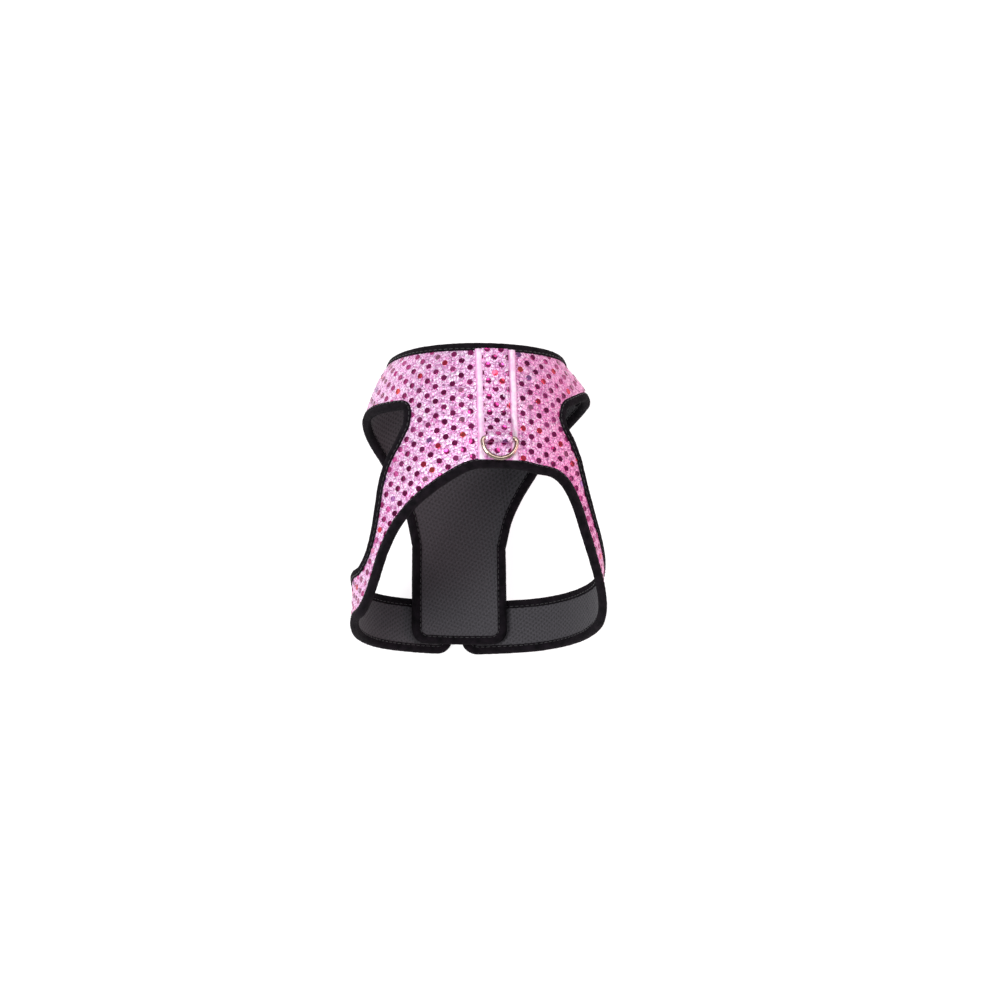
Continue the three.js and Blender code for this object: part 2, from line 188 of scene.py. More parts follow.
def layer_point(places, n, lift=no_lift):
    v, s = places[..., 0], places[..., 1]
    return form_point(v, s) + form_normal(v, s) * (n + lift(v))[..., None]


def on_form(places, lift=no_lift):
    return layer_point(places, np.zeros(places.shape[:-1]), lift)


def step_on_form(places, step):
    """Moves places on the form by small steps given in millimetres."""
    along_v, along_s = form_slopes(places[..., 0], places[..., 1])
    vv = (along_v * along_v).sum(-1)
    vs = (along_v * along_s).sum(-1)
    ss = (along_s * along_s).sum(-1)
    step_v = (step * along_v).sum(-1)
    step_s = (step * along_s).sum(-1)
    determinant = vv * ss - vs * vs
    moved_v = places[..., 0] + (step_v * ss - step_s * vs) / determinant
    moved_s = places[..., 1] + (step_s * vv - step_v * vs) / determinant
    return np.stack([moved_v, moved_s], -1)


# ---- lines of places ----
def run_along(line):
    """The distance from a line's start to each of its points."""
    return np.concatenate([[0], np.cumsum(np.linalg.norm(np.diff(line, axis=0), axis=1))])


def point_at(at, run, line):
    """The point of a line, or its points, at a distance from its start."""
    return np.stack([np.interp(at, run, line[:, i]) for i in range(line.shape[1])], -1)


def resample(line, count):
    """count + 1 evenly spaced places along a line."""
    line = np.asarray(line, float)
    run = run_along(line)
    return point_at(np.linspace(0, run[-1], count + 1), run, line)


def smooth_line(points, count):
    """count + 1 evenly spaced places on a centripetal Catmull-Rom curve through the points."""
    p = np.asarray(points, float)
    p = np.vstack([2 * p[0] - p[1], p, 2 * p[-1] - p[-2]])
    pieces = []
    for i in range(len(p) - 3):
        p0, p1, p2, p3 = p[i : i + 4]
        t0 = 0.0
        t1 = t0 + math.sqrt(np.linalg.norm(p1 - p0))
        t2 = t1 + math.sqrt(np.linalg.norm(p2 - p1))
        t3 = t2 + math.sqrt(np.linalg.norm(p3 - p2))
        t = np.linspace(t1, t2, 40, endpoint=i == len(p) - 4)[:, None]
        a1 = (t1 - t) / (t1 - t0) * p0 + (t - t0) / (t1 - t0) * p1
        a2 = (t2 - t) / (t2 - t1) * p1 + (t - t1) / (t2 - t1) * p2
        a3 = (t3 - t) / (t3 - t2) * p2 + (t - t2) / (t3 - t2) * p3
        b1 = (t2 - t) / (t2 - t0) * a1 + (t - t0) / (t2 - t0) * a2
        b2 = (t3 - t) / (t3 - t1) * a2 + (t - t1) / (t3 - t1) * a3
        pieces.append((t2 - t) / (t2 - t1) * b1 + (t - t1) / (t2 - t1) * b2)
    return resample(np.vstack(pieces), count)


def straight(start, end, count):
    return resample([start, end], count)


def join(*lines):
    """One line from several that meet end to end."""
    kept = [np.asarray(lines[0], float)]
    kept += [np.asarray(line, float)[1:] for line in lines[1:]]
    return np.vstack(kept)


def on_side(places, sign):
    return np.asarray(places, float) * (sign, 1)


def across_belly(places):
    """The same places on the other side of the line under the belly."""
    return places * (-1, 1) + (360, 0)


def angles_round(sides):
    return np.linspace(0, 2 * math.pi, sides, endpoint=False)


def rounded_corner(edge_v, end_s, towards_s, count):
    angle = np.linspace(0, math.pi / 2, count + 1)
    v = edge_v - CORNER_RADIUS / MM_PER_DEGREE * (1 - np.sin(angle))
    return np.stack([v, end_s + towards_s * CORNER_RADIUS * (1 - np.cos(angle))], -1)


def steps_for(length_mm, cell=CELL):
    return max(2, round(length_mm / cell))


# ---- outline of one side, as in the model ----
ARMHOLE_REAR_POINTS = [
    (41.6, 38.0),
    (44.0, 43.8),
    (49.3, 52.4),
    (53.0, 61.5),
    (55.2, 71.0),
    (58.5, 82.0),
    (64.5, 93.0),
    (75.0, 102.5),
    (FLANK_V, 107.5),
]
HEM_POINTS = [
    (HEM_CORNER_V, 68.4),
    (33.0, 73.0),
    (41.5, 80.0),
    (49.0, 90.5),
    (56.5, 105.0),
    (65.0, 117.0),
    (76.5, 126.0),
    (FLANK_V, 131.0),
]
CHEST_EDGE_POINTS = [
    (SHOULDER_SEAM_V, 28.2),
    (106.0, 30.6),
    (121.0, 35.4),
    (135.0, 42.8),
    (146.0, 53.5),
    (153.5, 66.8),
    (TAB_EDGE_V, CHEST_WAIST_S),
]
armhole_corner = smooth_line([(41.6, 38.0), (42.3, 33.8), (43.6, 31.0), (46.0, 29.4), (50.5, 28.8)], 24)
CORNER_MIDDLE = 12
armhole_rear = join(armhole_corner[: CORNER_MIDDLE + 1][::-1], smooth_line(ARMHOLE_REAR_POINTS, 100))
strap_edge = join(
    armhole_corner[CORNER_MIDDLE:],
    smooth_line([(50.5, 28.8), (70.0, 28.1), (SHOULDER_SEAM_V, 28.2)], 50),
)
hem_middle = smooth_line([(0.0, 63.0), (12.0, 63.6), (HEM_CORNER_V, 68.4)], 36)
hem_side = smooth_line(HEM_POINTS, 120)
chest_edge = smooth_line(CHEST_EDGE_POINTS, 110)
wing_front_corner = rounded_corner(WING_END_V, 110.5, 1, 12)
wing_rear_corner = rounded_corner(WING_END_V, 136.5, -1, 12)
wing_front = join(
    smooth_line([(FLANK_V, 107.5), (105.0, 109.2), (135.0, 110.4), wing_front_corner[0]], 100),
    wing_front_corner,
)
wing_rear = join(
    smooth_line([(FLANK_V, 131.0), (105.0, 134.0), (135.0, 136.0), wing_rear_corner[0]], 100),
    wing_rear_corner,
)
tab_corner = rounded_corner(360 - TAB_EDGE_V, TAB_END_S, -1, 12)


def ruled_patch(first, second, columns, rows):
    """A grid of places between two lines."""
    first, second = resample(first, columns), resample(second, columns)
    share = np.linspace(0, 1, rows + 1)[:, None, None]
    return first[None] * (1 - share) + second[None] * share


def side_patches(sign, cell=CELL):
    """Half of the back panel with its shoulder strap, and the wing."""

    def fine(length):
        return steps_for(length, cell)

    corner = armhole_corner[CORNER_MIDDLE]
    shoulder_rows, hem_rows, centre = fine(32), fine(36), fine(46)
    patches = [
        ruled_patch([(0, 0), (NECK_CORNER_V, 0)], [(0, corner[1]), corner], centre, shoulder_rows),
        ruled_patch([(0, corner[1]), corner], hem_middle, centre, hem_rows),
        ruled_patch([(NECK_CORNER_V, 0), (SHOULDER_SEAM_V, 0)], strap_edge, fine(48), shoulder_rows),
        ruled_patch(armhole_rear, hem_side, fine(110), hem_rows),
        ruled_patch(wing_front, wing_rear, fine(104), hem_rows),
    ]
    return [on_side(patch, sign) for patch in patches]


def chest_patches(cell=CELL):
    """The chest panel with its tab."""

    def fine(length):
        return steps_for(length, cell)

    waist_rows = fine(76)
    neck = [(SHOULDER_SEAM_V, 0), (TAB_EDGE_V, 0)]
    side = ruled_patch(neck, chest_edge, fine(80), waist_rows)
    half = 180 - TAB_EDGE_V
    width = fine(49)
    tab_rows = fine(TAB_END_S - CORNER_RADIUS - CHEST_WAIST_S)

    def row(half_v, s):
        return [(180 - half_v, s), (180 + half_v, s)]

    corner_rows = [resample(row(v - 180, s), width) for v, s in tab_corner[::-1]]
    return [
        side,
        across_belly(side)[:, ::-1],  # its columns run back, so that its faces still point out
        ruled_patch(row(half, 0), row(half, CHEST_WAIST_S), width, waist_rows),
        ruled_patch(row(half, CHEST_WAIST_S), row(half, TAB_END_S - CORNER_RADIUS), width, tab_rows),
        np.array(corner_rows),
    ]


# ---- the flat cut of the fabric ----
CONE_SLOPE = 0.24  # the torso widens like a cone, so the flat cut fans out by this much
CONE_REACH = 212.0  # from the cone's tip to the neck edge, on the flat cut


def flat_from_place(places):
    """Where a place lies on the flat cut, in millimetres from the middle of the neck edge."""
    v, s = places[..., 0], places[..., 1]
    reach = CONE_REACH + s - swayed(v, s)
    angle = np.radians(turned(v, s)) * CONE_SLOPE
    return np.stack([reach * np.sin(angle), reach * np.cos(angle) - CONE_REACH], -1)


def place_from_flat(flat):
    reach = np.hypot(flat[..., 0], flat[..., 1] + CONE_REACH) - CONE_REACH
    angle = np.degrees(np.arctan2(flat[..., 0], flat[..., 1] + CONE_REACH) / CONE_SLOPE)
    v, s = angle, reach
    for _ in range(30):  # undoes the drawing of the cloth step by step
        v = (v + angle + v - turned(v, s)) / 2
        s = (s + reach + swayed(v, s)) / 2
    return np.stack([v, s], -1)


# ---- relief of the cloth ----
class Ripple:
    """Smooth seeded noise in space: many small waves of about one length, between -1 and 1."""

    def __init__(self, wavelength, waves=28):
        direction = unit(RANDOM.normal(size=(waves, 3)))
        length = wavelength * RANDOM.uniform(0.75, 1.35, (waves, 1))
        self.waves = direction * 2 * math.pi / length
        self.phase = RANDOM.uniform(0, 2 * math.pi, waves)

    def __call__(self, points):
        return np.sin(points @ self.waves.T + self.phase).sum(-1) / math.sqrt(len(self.phase)) / 1.6


soft_wrinkle = Ripple(26)
small_wrinkle = Ripple(9)
crinkle_a = Ripple(3.4)
crinkle_b = Ripple(2.1)
tape_wave = Ripple(7)
tape_pucker = Ripple(2.6)


def creases(points):
    """The crinkle of the knit: small sharp folds."""
    return 0.18 * (0.5 - np.abs(crinkle_a(points))) + 0.11 * (0.5 - np.abs(crinkle_b(points)))


def slow_wrinkles(points):
    return 0.30 * soft_wrinkle(points) + 0.14 * small_wrinkle(points)


# ---- meshes ----
def make_mesh(name, points, faces, material, uv=None, tone=None):
    """An object from points in millimetres and lists of quads or triangles."""
    mesh = bpy.data.meshes.new(name)
    mesh.from_pydata((np.asarray(points) * MM).tolist(), [], faces)
    mesh.update()
    mesh.shade_smooth()
    corners = np.empty(len(mesh.loops), np.int32)
    mesh.loops.foreach_get("vertex_index", corners)
    if uv is not None:
        layer = mesh.uv_layers.new(name="Cloth")
        layer.data.foreach_set("uv", (np.asarray(uv)[corners] * MM).ravel())
    if tone is not None:
        attribute = mesh.color_attributes.new("Tone", "FLOAT_COLOR", "POINT")
        attribute.data.foreach_set("color", np.asarray(tone, np.float32).ravel())
    piece = bpy.data.objects.new(name, mesh)
    bpy.context.collection.objects.link(piece)
    mesh.materials.append(material)
    return piece


def weld(grids):
    """The distinct places of several grids, and the quads between them."""
    places = np.vstack([grid.reshape(-1, 2) for grid in grids])
    quads = []
    offset = 0
    for grid in grids:
        rows, columns = grid.shape[:2]
        index = offset + np.arange(rows * columns).reshape(rows, columns)
        quads.append(
            np.stack([index[:-1, :-1], index[:-1, 1:], index[1:, 1:], index[1:, :-1]], -1).reshape(-1, 4)
        )
        offset += rows * columns
    _, first, inverse = np.unique(np.round(places, 3), axis=0, return_index=True, return_inverse=True)
    return places[first], inverse.ravel()[np.vstack(quads)]


def rim_edges(quads):
    """Directed edges that only one quad uses."""
    edges = np.vstack([quads[:, [i, (i + 1) % 4]] for i in range(4)])
    size = int(quads.max()) + 1
    forward = edges[:, 0].astype(np.int64) * size + edges[:, 1]
    backward = edges[:, 1].astype(np.int64) * size + edges[:, 0]
    return edges[~np.isin(forward, backward)]


def outward_faces(points, faces):
    """Turns all faces over if the mesh would be inside out, going by its volume."""
    p = np.asarray(points)
    volume = 0.0
    for face in (np.array([f for f in faces if len(f) == n]) for n in (3, 4)):
        if len(face):
            for i in range(1, face.shape[1] - 1):
                a, b, c = p[face[:, 0]], p[face[:, i]], p[face[:, i + 1]]
                volume += (a * np.cross(b, c)).sum()
    if volume >= 0:
        return faces
    return [tuple(reversed(face)) for face in faces]


def cloth_piece(name, grids, base, top, material, relief=None, lift=no_lift, inner_relief=None):
    """A closed layer of cloth between two heights, with relief on its outer or inner face."""
    places, quads = weld(grids)
    count = len(places)
    middle = on_form(places, lift)
    outer_n = np.full(count, float(top)) + (0 if relief is None else relief(places, middle))
    inner_n = np.full(count, float(base)) + (0 if inner_relief is None else inner_relief(places, middle))
    points = np.vstack([layer_point(places, outer_n, lift), layer_point(places, inner_n, lift)])
    rim = rim_edges(quads)
    walls = np.stack([rim[:, 1], rim[:, 0], rim[:, 0] + count, rim[:, 1] + count], -1)
    faces = [tuple(face) for face in np.vstack([quads, quads[:, ::-1] + count, walls]).tolist()]
    flat = flat_from_place(places)
    return make_mesh(name, points, outward_faces(points, faces), material, uv=np.vstack([flat, flat]))


def tube_faces(rings, size, closed):
    """Quads between successive rings, with caps where the tube is open."""
    last = rings if closed else rings - 1
    here = np.arange(last)[:, None] * size
    after = ((np.arange(last) + 1) % rings)[:, None] * size
    side = np.arange(size)[None]
    next_side = (side + 1) % size
    quads = np.stack([here + side, here + next_side, after + next_side, after + side], -1).reshape(-1, 4)
    faces = [tuple(face) for face in quads.tolist()]
    if not closed:
        faces.append(tuple(range(size - 1, -1, -1)))
        faces.append(tuple(range((rings - 1) * size, rings * size)))
    return faces


def tube_piece(name, rings, material, closed=False, uv=None):
    """A tube through rings of points, an array of (ring, point, 3)."""
    count, size = rings.shape[:2]
    points = rings.reshape(-1, 3)
    faces = tube_faces(count, size, closed)
    quads = [face for face in faces if len(face) == 4]
    if outward_faces(points, quads) is not quads:
        faces = [tuple(reversed(face)) for face in faces]
    return make_mesh(name, points, faces, material, uv=uv)


def join_solids(name, solids, material, tones=None):
    """One object from many small closed solids, each a pair of points and faces."""
    points, faces, colours = [], [], []
    offset = 0
    for number, (solid_points, solid_faces) in enumerate(solids):
        points.append(solid_points)
        faces += [tuple(index + offset for index in face) for face in solid_faces]
        offset += len(solid_points)
        if tones is not None:
            colours.append(np.tile(tones[number], (len(solid_points), 1)))
    tone = np.vstack(colours) if tones is not None else None
    return make_mesh(name, np.vstack(points), faces, material, tone=tone)


# ---- node materials ----
def new_material(name, base, roughness, metallic=0.0, **inputs):
    material = bpy.data.materials.new(name)
    material.use_nodes = True
    shader = material.node_tree.nodes["Principled BSDF"]
    shader.inputs["Base Color"].default_value = (*base, 1)
    shader.inputs["Roughness"].default_value = roughness
    shader.inputs["Metallic"].default_value = metallic
    for socket, value in inputs.items():
        shader.inputs[socket.replace("_", " ")].default_value = value
    return material, Nodes(material, shader)


class Nodes:
    """Short calls for building a material's node tree."""

    def __init__(self, material, shader):
        self.tree = material.node_tree
        self.shader = shader

    def add(self, kind, **settings):
        node = self.tree.nodes.new(kind)
        for key, value in settings.items():
            setattr(node, key, value)
        return node

    def link(self, source, target):
        self.tree.links.new(source, target)
        return target

    def colour(self, source):
        self.link(source, self.shader.inputs["Base Color"])

    def roughness(self, source):
        self.link(source, self.shader.inputs["Roughness"])

    def cloth_uv(self):
        return self.add("ShaderNodeUVMap", uv_map="Cloth").outputs["UV"]

    def object_space(self):
        return self.add("ShaderNodeTexCoord").outputs["Object"]

    def noise(self, vector, scale, detail=3.0, roughness=0.55):
        node = self.add("ShaderNodeTexNoise")
        node.inputs["Scale"].default_value = scale
        node.inputs["Detail"].default_value = detail
        node.inputs["Roughness"].default_value = roughness
        self.link(vector, node.inputs["Vector"])
        return node.outputs["Fac"]

    def cells(self, vector, scale, feature="F1", output="Color"):
        node = self.add("ShaderNodeTexVoronoi", feature=feature)
        node.inputs["Scale"].default_value = scale
        self.link(vector, node.inputs["Vector"])
        return node.outputs[output]

    def ramp(self, factor, stops, interpolation="LINEAR"):
        node = self.add("ShaderNodeValToRGB")
        node.color_ramp.interpolation = interpolation
        elements = node.color_ramp.elements
        while len(elements) < len(stops):
            elements.new(0.5)
        for element, (position, colour) in zip(elements, stops):
            element.position = position
            element.color = (*colour, 1)
        self.link(factor, node.inputs["Fac"])
        return node.outputs["Color"]

    def mix(self, factor, first, second, blend="MIX"):
        node = self.add("ShaderNodeMix", data_type="RGBA", blend_type=blend)
        for value, socket in ((factor, node.inputs[0]), (first, node.inputs[6]), (second, node.inputs[7])):
            if isinstance(value, (int, float)):
                socket.default_value = value
            elif isinstance(value, tuple):
                socket.default_value = (*value, 1)
            else:
                self.link(value, socket)
        return node.outputs[2]

    def math(self, operation, first, second=0.0):
        node = self.add("ShaderNodeMath", operation=operation)
        for value, socket in ((first, node.inputs[0]), (second, node.inputs[1])):
            if isinstance(value, (int, float)):
                socket.default_value = value
            else:
                self.link(value, socket)
        return node.outputs[0]

    def separate(self, vector):
        node = self.add("ShaderNodeSeparateXYZ")
        self.link(vector, node.inputs[0])
        return node.outputs

    def mottle(self, vector, scale, detail, stops):
        """Noise turned into colours."""
        return self.ramp(self.noise(vector, scale, detail), stops)

    def wave(self, distance, length):
        """A sine wave over a distance, both in metres."""
        return self.math("SINE", self.math("MULTIPLY", distance, 2 * math.pi / length))

    def tone(self):
        """The colour that each point of the mesh carries."""
        return self.add("ShaderNodeVertexColor", layer_name="Tone").outputs["Color"]

    def bump(self, heights):
        """Stacks bumps, each a height, its distance in metres and its strength."""
        normal = None
        for height, distance, strength in heights:
            node = self.add("ShaderNodeBump")
            node.inputs["Distance"].default_value = distance
            node.inputs["Strength"].default_value = strength
            self.link(height, node.inputs["Height"])
            if normal is not None:
                self.link(normal, node.inputs["Normal"])
            normal = node.outputs["Normal"]
        self.link(normal, self.shader.inputs["Normal"])


RIGHT_REFLECTION_SPAN = 0.1  # metres across the back over which the knit turns a deeper pink towards the right, as painted warm reflected light


def sequin_cloth_material():
    """Pink metallic knit: pale and deep pink threads that glint in every direction."""
    material, nodes = new_material("sequin_cloth", (0.9, 0.5, 0.75), 0.34, 0.5)
    uv = nodes.cloth_uv()
    threads = nodes.separate(nodes.cells(uv, 1350))
    colour = nodes.ramp(
        threads["X"],
        [
            (0.0, (0.16, 0.02, 0.15)),
            (0.10, (0.55, 0.08, 0.36)),
            (0.22, (0.95, 0.33, 0.70)),
            (0.45, (1.0, 0.54, 0.86)),
            (0.75, (1.0, 0.76, 0.96)),
            (1.0, (1.0, 0.95, 1.0)),
        ],
    )
    patches = nodes.mottle(
        uv, 110, 5, [(0.34, (0.88, 0.26, 0.62)), (0.50, (1.0, 0.62, 0.90)), (0.66, (1.0, 0.92, 1.0))]
    )
    colour = nodes.mix(0.36, colour, patches)
    # Painted warm reflected light: the knit turns a deeper pink towards the right side of the back.
    across = nodes.separate(nodes.object_space())["X"]
    side = nodes.math("ADD", nodes.math("MULTIPLY", across, 1 / RIGHT_REFLECTION_SPAN), 0.5)
    painted_right_reflection = nodes.ramp(side, [(0.52, (1.0, 1.0, 1.0)), (0.86, (1.0, 0.66, 0.80))])
    colour = nodes.mix(1.0, colour, painted_right_reflection, "MULTIPLY")
    crease = nodes.cells(uv, 430, feature="DISTANCE_TO_EDGE", output="Distance")
    # Painted shade: the knit darkens along its fine crease lines.
    crease_painted_shade = nodes.ramp(crease, [(0.0, (0.42, 0.16, 0.38)), (0.12, (1.0, 1.0, 1.0))])
    nodes.colour(nodes.mix(0.8, colour, crease_painted_shade, "MULTIPLY"))
    nodes.roughness(nodes.ramp(threads["Y"], [(0.0, (0.16,) * 3), (1.0, (0.58,) * 3)]))
    nodes.bump([(nodes.noise(uv, 620, 3), 0.0008, 0.8), (crease, 0.0009, 0.5), (threads["Z"], 0.00026, 0.9)])
    return material


def sequin_material():
    """Mirror foil in plum, burgundy and red: each sequin carries its own tone."""
    material, nodes = new_material("sequin_foil", (0.3, 0.04, 0.15), 0.16, 1.0)
    tone = nodes.tone()
    mottled = nodes.mottle(nodes.object_space(), 900, 2, [(0.3, (0.72,) * 3), (0.7, (1.0,) * 3)])
    nodes.colour(nodes.mix(1.0, tone, mottled, "MULTIPLY"))
    nodes.bump([(nodes.noise(nodes.object_space(), 620, 2), 0.0001, 0.5)])
    return material


def binding_material():
    """Matt black knitted tape with a fine rib and some fuzz."""
    material, nodes = new_material(
        "binding_tape", (0.005, 0.004, 0.006), 0.85, 0.0, Sheen_Weight=0.01, Specular_IOR_Level=0.06
    )
    nodes.shader.inputs["Sheen Tint"].default_value = (0.5, 0.42, 0.5, 1)
    uv = nodes.cloth_uv()
    space = nodes.object_space()
    nodes.colour(nodes.mottle(space, 260, 4, [(0.35, (0.0035, 0.003, 0.004)), (0.8, (0.014, 0.010, 0.014))]))
    axis = nodes.separate(uv)
    weave = nodes.math("MULTIPLY", nodes.wave(axis["X"], 0.00055), nodes.wave(axis["Y"], 0.00070))
    nodes.bump([(nodes.noise(space, 2400, 3), 0.00025, 0.6), (weave, 0.00009, 0.8)])
    return material


def webbing_material():
    """Pale pink woven tape with a light satin sheen."""
    material, nodes = new_material("pale_webbing", (0.93, 0.72, 0.85), 0.5, 0.0, Sheen_Weight=0.3)
    uv = nodes.cloth_uv()
    axis = nodes.separate(uv)
    weave = nodes.math("MULTIPLY", nodes.wave(axis["X"], 0.00080), nodes.wave(axis["Y"], 0.00050))
    shade = nodes.mottle(uv, 300, 5, [(0.36, (0.93, 0.60, 0.84)), (0.6, (0.99, 0.86, 0.97))])
    from_spine = nodes.math("MULTIPLY", nodes.math("ABSOLUTE", axis["X"]), 1 / (WEBBING_WIDTH / 2 * MM))
    # Painted highlight and shade on the tape's raised ridge: white along its top, deeper pink on its slopes
    # towards the strip and the outer edge.
    ridge_highlight_and_shade = nodes.ramp(
        from_spine,
        [
            (0.62, (0.86, 0.36, 0.70)),
            (0.76, (1.0, 1.0, 1.0)),
            (0.90, (1.0, 1.0, 1.0)),
            (0.98, (0.88, 0.42, 0.72)),
        ],
    )
    nodes.colour(nodes.mix(1.0, shade, ridge_highlight_and_shade, "MULTIPLY"))
    nodes.bump([(weave, 0.00012, 0.8), (nodes.noise(uv, 1800, 2), 0.0001, 0.4)])
    return material


def lining_material():
    """Soft black air mesh with small holes."""
    material, nodes = new_material("air_mesh", (0.03, 0.027, 0.032), 0.8, 0.0, Sheen_Weight=0.12)
    uv = nodes.cloth_uv()
    hole = nodes.cells(uv, 1000 / MESH_PITCH * 0.94, output="Distance")
    yarn = nodes.mottle(uv, 1300, 3, [(0.3, (0.022, 0.020, 0.024)), (0.7, (0.060, 0.054, 0.064))])
    # The Tone attribute carries painted shade in the holes of the mesh.
    nodes.colour(nodes.mix(1.0, yarn, nodes.tone(), "MULTIPLY"))
    nodes.bump([(nodes.noise(uv, 2200, 2), 0.0003, 0.6), (hole, 0.0001, 0.2)])
    return material


def thread_material(name, colour):
    """Twisted sewing thread."""
    material, nodes = new_material(name, colour, 0.55, 0.0, Sheen_Weight=0.2)
    space = nodes.object_space()
    darker = tuple(c * 0.6 for c in colour)
    nodes.colour(nodes.mottle(space, 2600, 2, [(0.3, darker), (0.7, colour)]))
    nodes.bump([(nodes.noise(space, 5200, 1), 0.00008, 0.7)])
    return material


def hook_tape_material(name, colour):
    material, nodes = new_material(name, colour, 0.8, 0.0, Sheen_Weight=0.2)
    space = nodes.object_space()
    lighter = tuple(min(1, c * 2.2) for c in colour)
    nodes.colour(nodes.mottle(space, 1500, 3, [(0.3, colour), (0.75, lighter)]))
    nodes.bump([(nodes.noise(space, 3000, 2), 0.0003, 0.7)])
    return material


def nickel_material():
    """Bright nickel plate with faint polishing marks; its colour is darkened to a mottled warm brown as a
    painted reflection of dark surroundings.
    """
    material, nodes = new_material("nickel_with_painted_reflection", (0.30, 0.24, 0.19), 0.14, 1.0)
    space = nodes.object_space()
    # Painted reflection: the dark mottled brown colour stands in for the dark surroundings mirrored by the
    # plate.
    nodes.colour(nodes.mottle(space, 160, 3, [(0.3, (0.24, 0.13, 0.085)), (0.7, (0.52, 0.42, 0.36))]))
    nodes.roughness(nodes.mottle(space, 900, 4, [(0.3, (0.09,) * 3), (0.8, (0.26,) * 3)]))
    nodes.bump([(nodes.noise(space, 1300, 2), 0.00004, 0.25)])
    return material


def label_material():
    material, nodes = new_material("label_satin", (0.86, 0.84, 0.85), 0.42, 0.0, Sheen_Weight=0.3)
    axis = nodes.separate(nodes.cloth_uv())
    rib = nodes.wave(axis["Y"], 0.0004)
    nodes.colour(nodes.mottle(nodes.object_space(), 500, 3, [(0.3, (0.78,) * 3), (0.7, (0.9,) * 3)]))
    nodes.bump([(rib, 0.00006, 0.6)])
    return material


CLOTH = sequin_cloth_material()
FOIL = sequin_material()
TAPE = binding_material()
WEBBING = webbing_material()
LINING = lining_material()
BLACK_THREAD = thread_material("black_thread", (0.010, 0.008, 0.011))
PINK_THREAD = thread_material("pink_thread", (0.86, 0.50, 0.70))
HOOK_TAPE = hook_tape_material("hook_tape", (0.016, 0.014, 0.018))
LOOP_TAPE = hook_tape_material("loop_tape", (0.022, 0.019, 0.024))
NICKEL_WITH_PAINTED_REFLECTION = nickel_material()
SATIN = label_material()

# ---- sequins ----
SEQUIN_RADIUS = 1.5
SEQUIN_PITCH = (8.8, 7.8)  # between like sequins; another sits at the middle of each four
SEQUIN_SIDES = 20
SEQUIN_EDGE = 1.9  # least distance of a sequin's middle from the cut edge
SEQUIN_LEAN = 0.06
SEQUIN_LIFT = 0.06
FLAT_REACH = 330  # millimetres of the flat cut that the sequins' lattice covers, each way
FURTHEST_V = 270
SEQUIN_PROFILE = [(0.0, 0.05), (0.55, 0.05), (0.86, 0.13), (0.97, 0.13), (1.0, 0.03), (1.0, -0.16)]
SEQUIN_TONES = [
    ((0.300, 0.026, 0.130), 0.44),
    ((0.430, 0.045, 0.200), 0.24),
    ((0.560, 0.090, 0.300), 0.10),
    ((0.420, 0.160, 0.420), 0.03),
    ((0.680, 0.050, 0.100), 0.10),
    ((0.780, 0.100, 0.100), 0.05),
    ((0.760, 0.260, 0.460), 0.04),
]


def lattice(width, height, pitch, shift=(0.0, 0.0)):
    """Centres of a centred-rectangular lattice that covers a rectangle about the origin."""
    half = np.array(pitch) / 2
    columns = int(width / half[0]) + 2
    rows = int(height / half[1]) + 2
    i, j = np.meshgrid(np.arange(-columns, columns + 1), np.arange(-rows, rows + 1))
    even = (i + j) % 2 == 0
    return np.stack([i[even] * half[0] + shift[0], j[even] * half[1] + shift[1]], -1)


def sequin(centre, normal, across):
    """A small cupped disc, as points and faces."""
    along = np.cross(normal, across)
    angle = angles_round(SEQUIN_SIDES)
    spin = RANDOM.uniform(0, math.pi)
    ring = np.cos(angle + spin)[:, None] * across + np.sin(angle + spin)[:, None] * along
    points = [centre + SEQUIN_PROFILE[0][1] * normal]
    for share, height in SEQUIN_PROFILE[1:]:
        points += list(centre + SEQUIN_RADIUS * share * ring + height * normal)
    faces = []
    n = SEQUIN_SIDES
    for side in range(n):
        after = (side + 1) % n
        faces.append((0, 1 + side, 1 + after))
        for level in range(len(SEQUIN_PROFILE) - 2):
            low, high = 1 + level * n, 1 + (level + 1) * n
            faces.append((low + side, high + side, high + after, low + after))
    last = 1 + (len(SEQUIN_PROFILE) - 2) * n
    faces.append(tuple(last + side for side in range(n - 1, -1, -1)))
    return np.array(points), faces


def tilted(normal, amount):
    """A unit normal turned by a small random angle."""
    return unit(normal + RANDOM.normal(0, amount, 3))


def random_tones(count):
    colours = np.array([colour for colour, _ in SEQUIN_TONES])
    chance = np.array([share for _, share in SEQUIN_TONES])
    picked = colours[RANDOM.choice(len(colours), count, p=chance / chance.sum())]
    picked = picked * RANDOM.uniform(0.75, 1.3, (count, 1))
    return np.hstack([np.clip(picked, 0, 1), np.ones((count, 1))])


def inside_patches(places, patches):
    """Which places lie on a set of patches, tested against their grid points."""
    grid = np.vstack([patch.reshape(-1, 2) for patch in patches]) * (MM_PER_DEGREE, 1)
    tree = point_tree([(x, y, 0) for x, y in grid])
    return np.array([tree.find((v * MM_PER_DEGREE, s, 0))[2] < CELL for v, s in places], bool)


def sequin_places(patches, wrinkles):
    """Sequin centres on the flat cut that fall on the given patches, clear of the edge."""
    places = place_from_flat(lattice(FLAT_REACH, FLAT_REACH, SEQUIN_PITCH))
    places = places[(np.abs(places[:, 0]) < FURTHEST_V) & (places[:, 1] > 0)]
    places = places[inside_patches(places, patches)]
    return places[wrinkles.from_edge(places) > SEQUIN_EDGE]


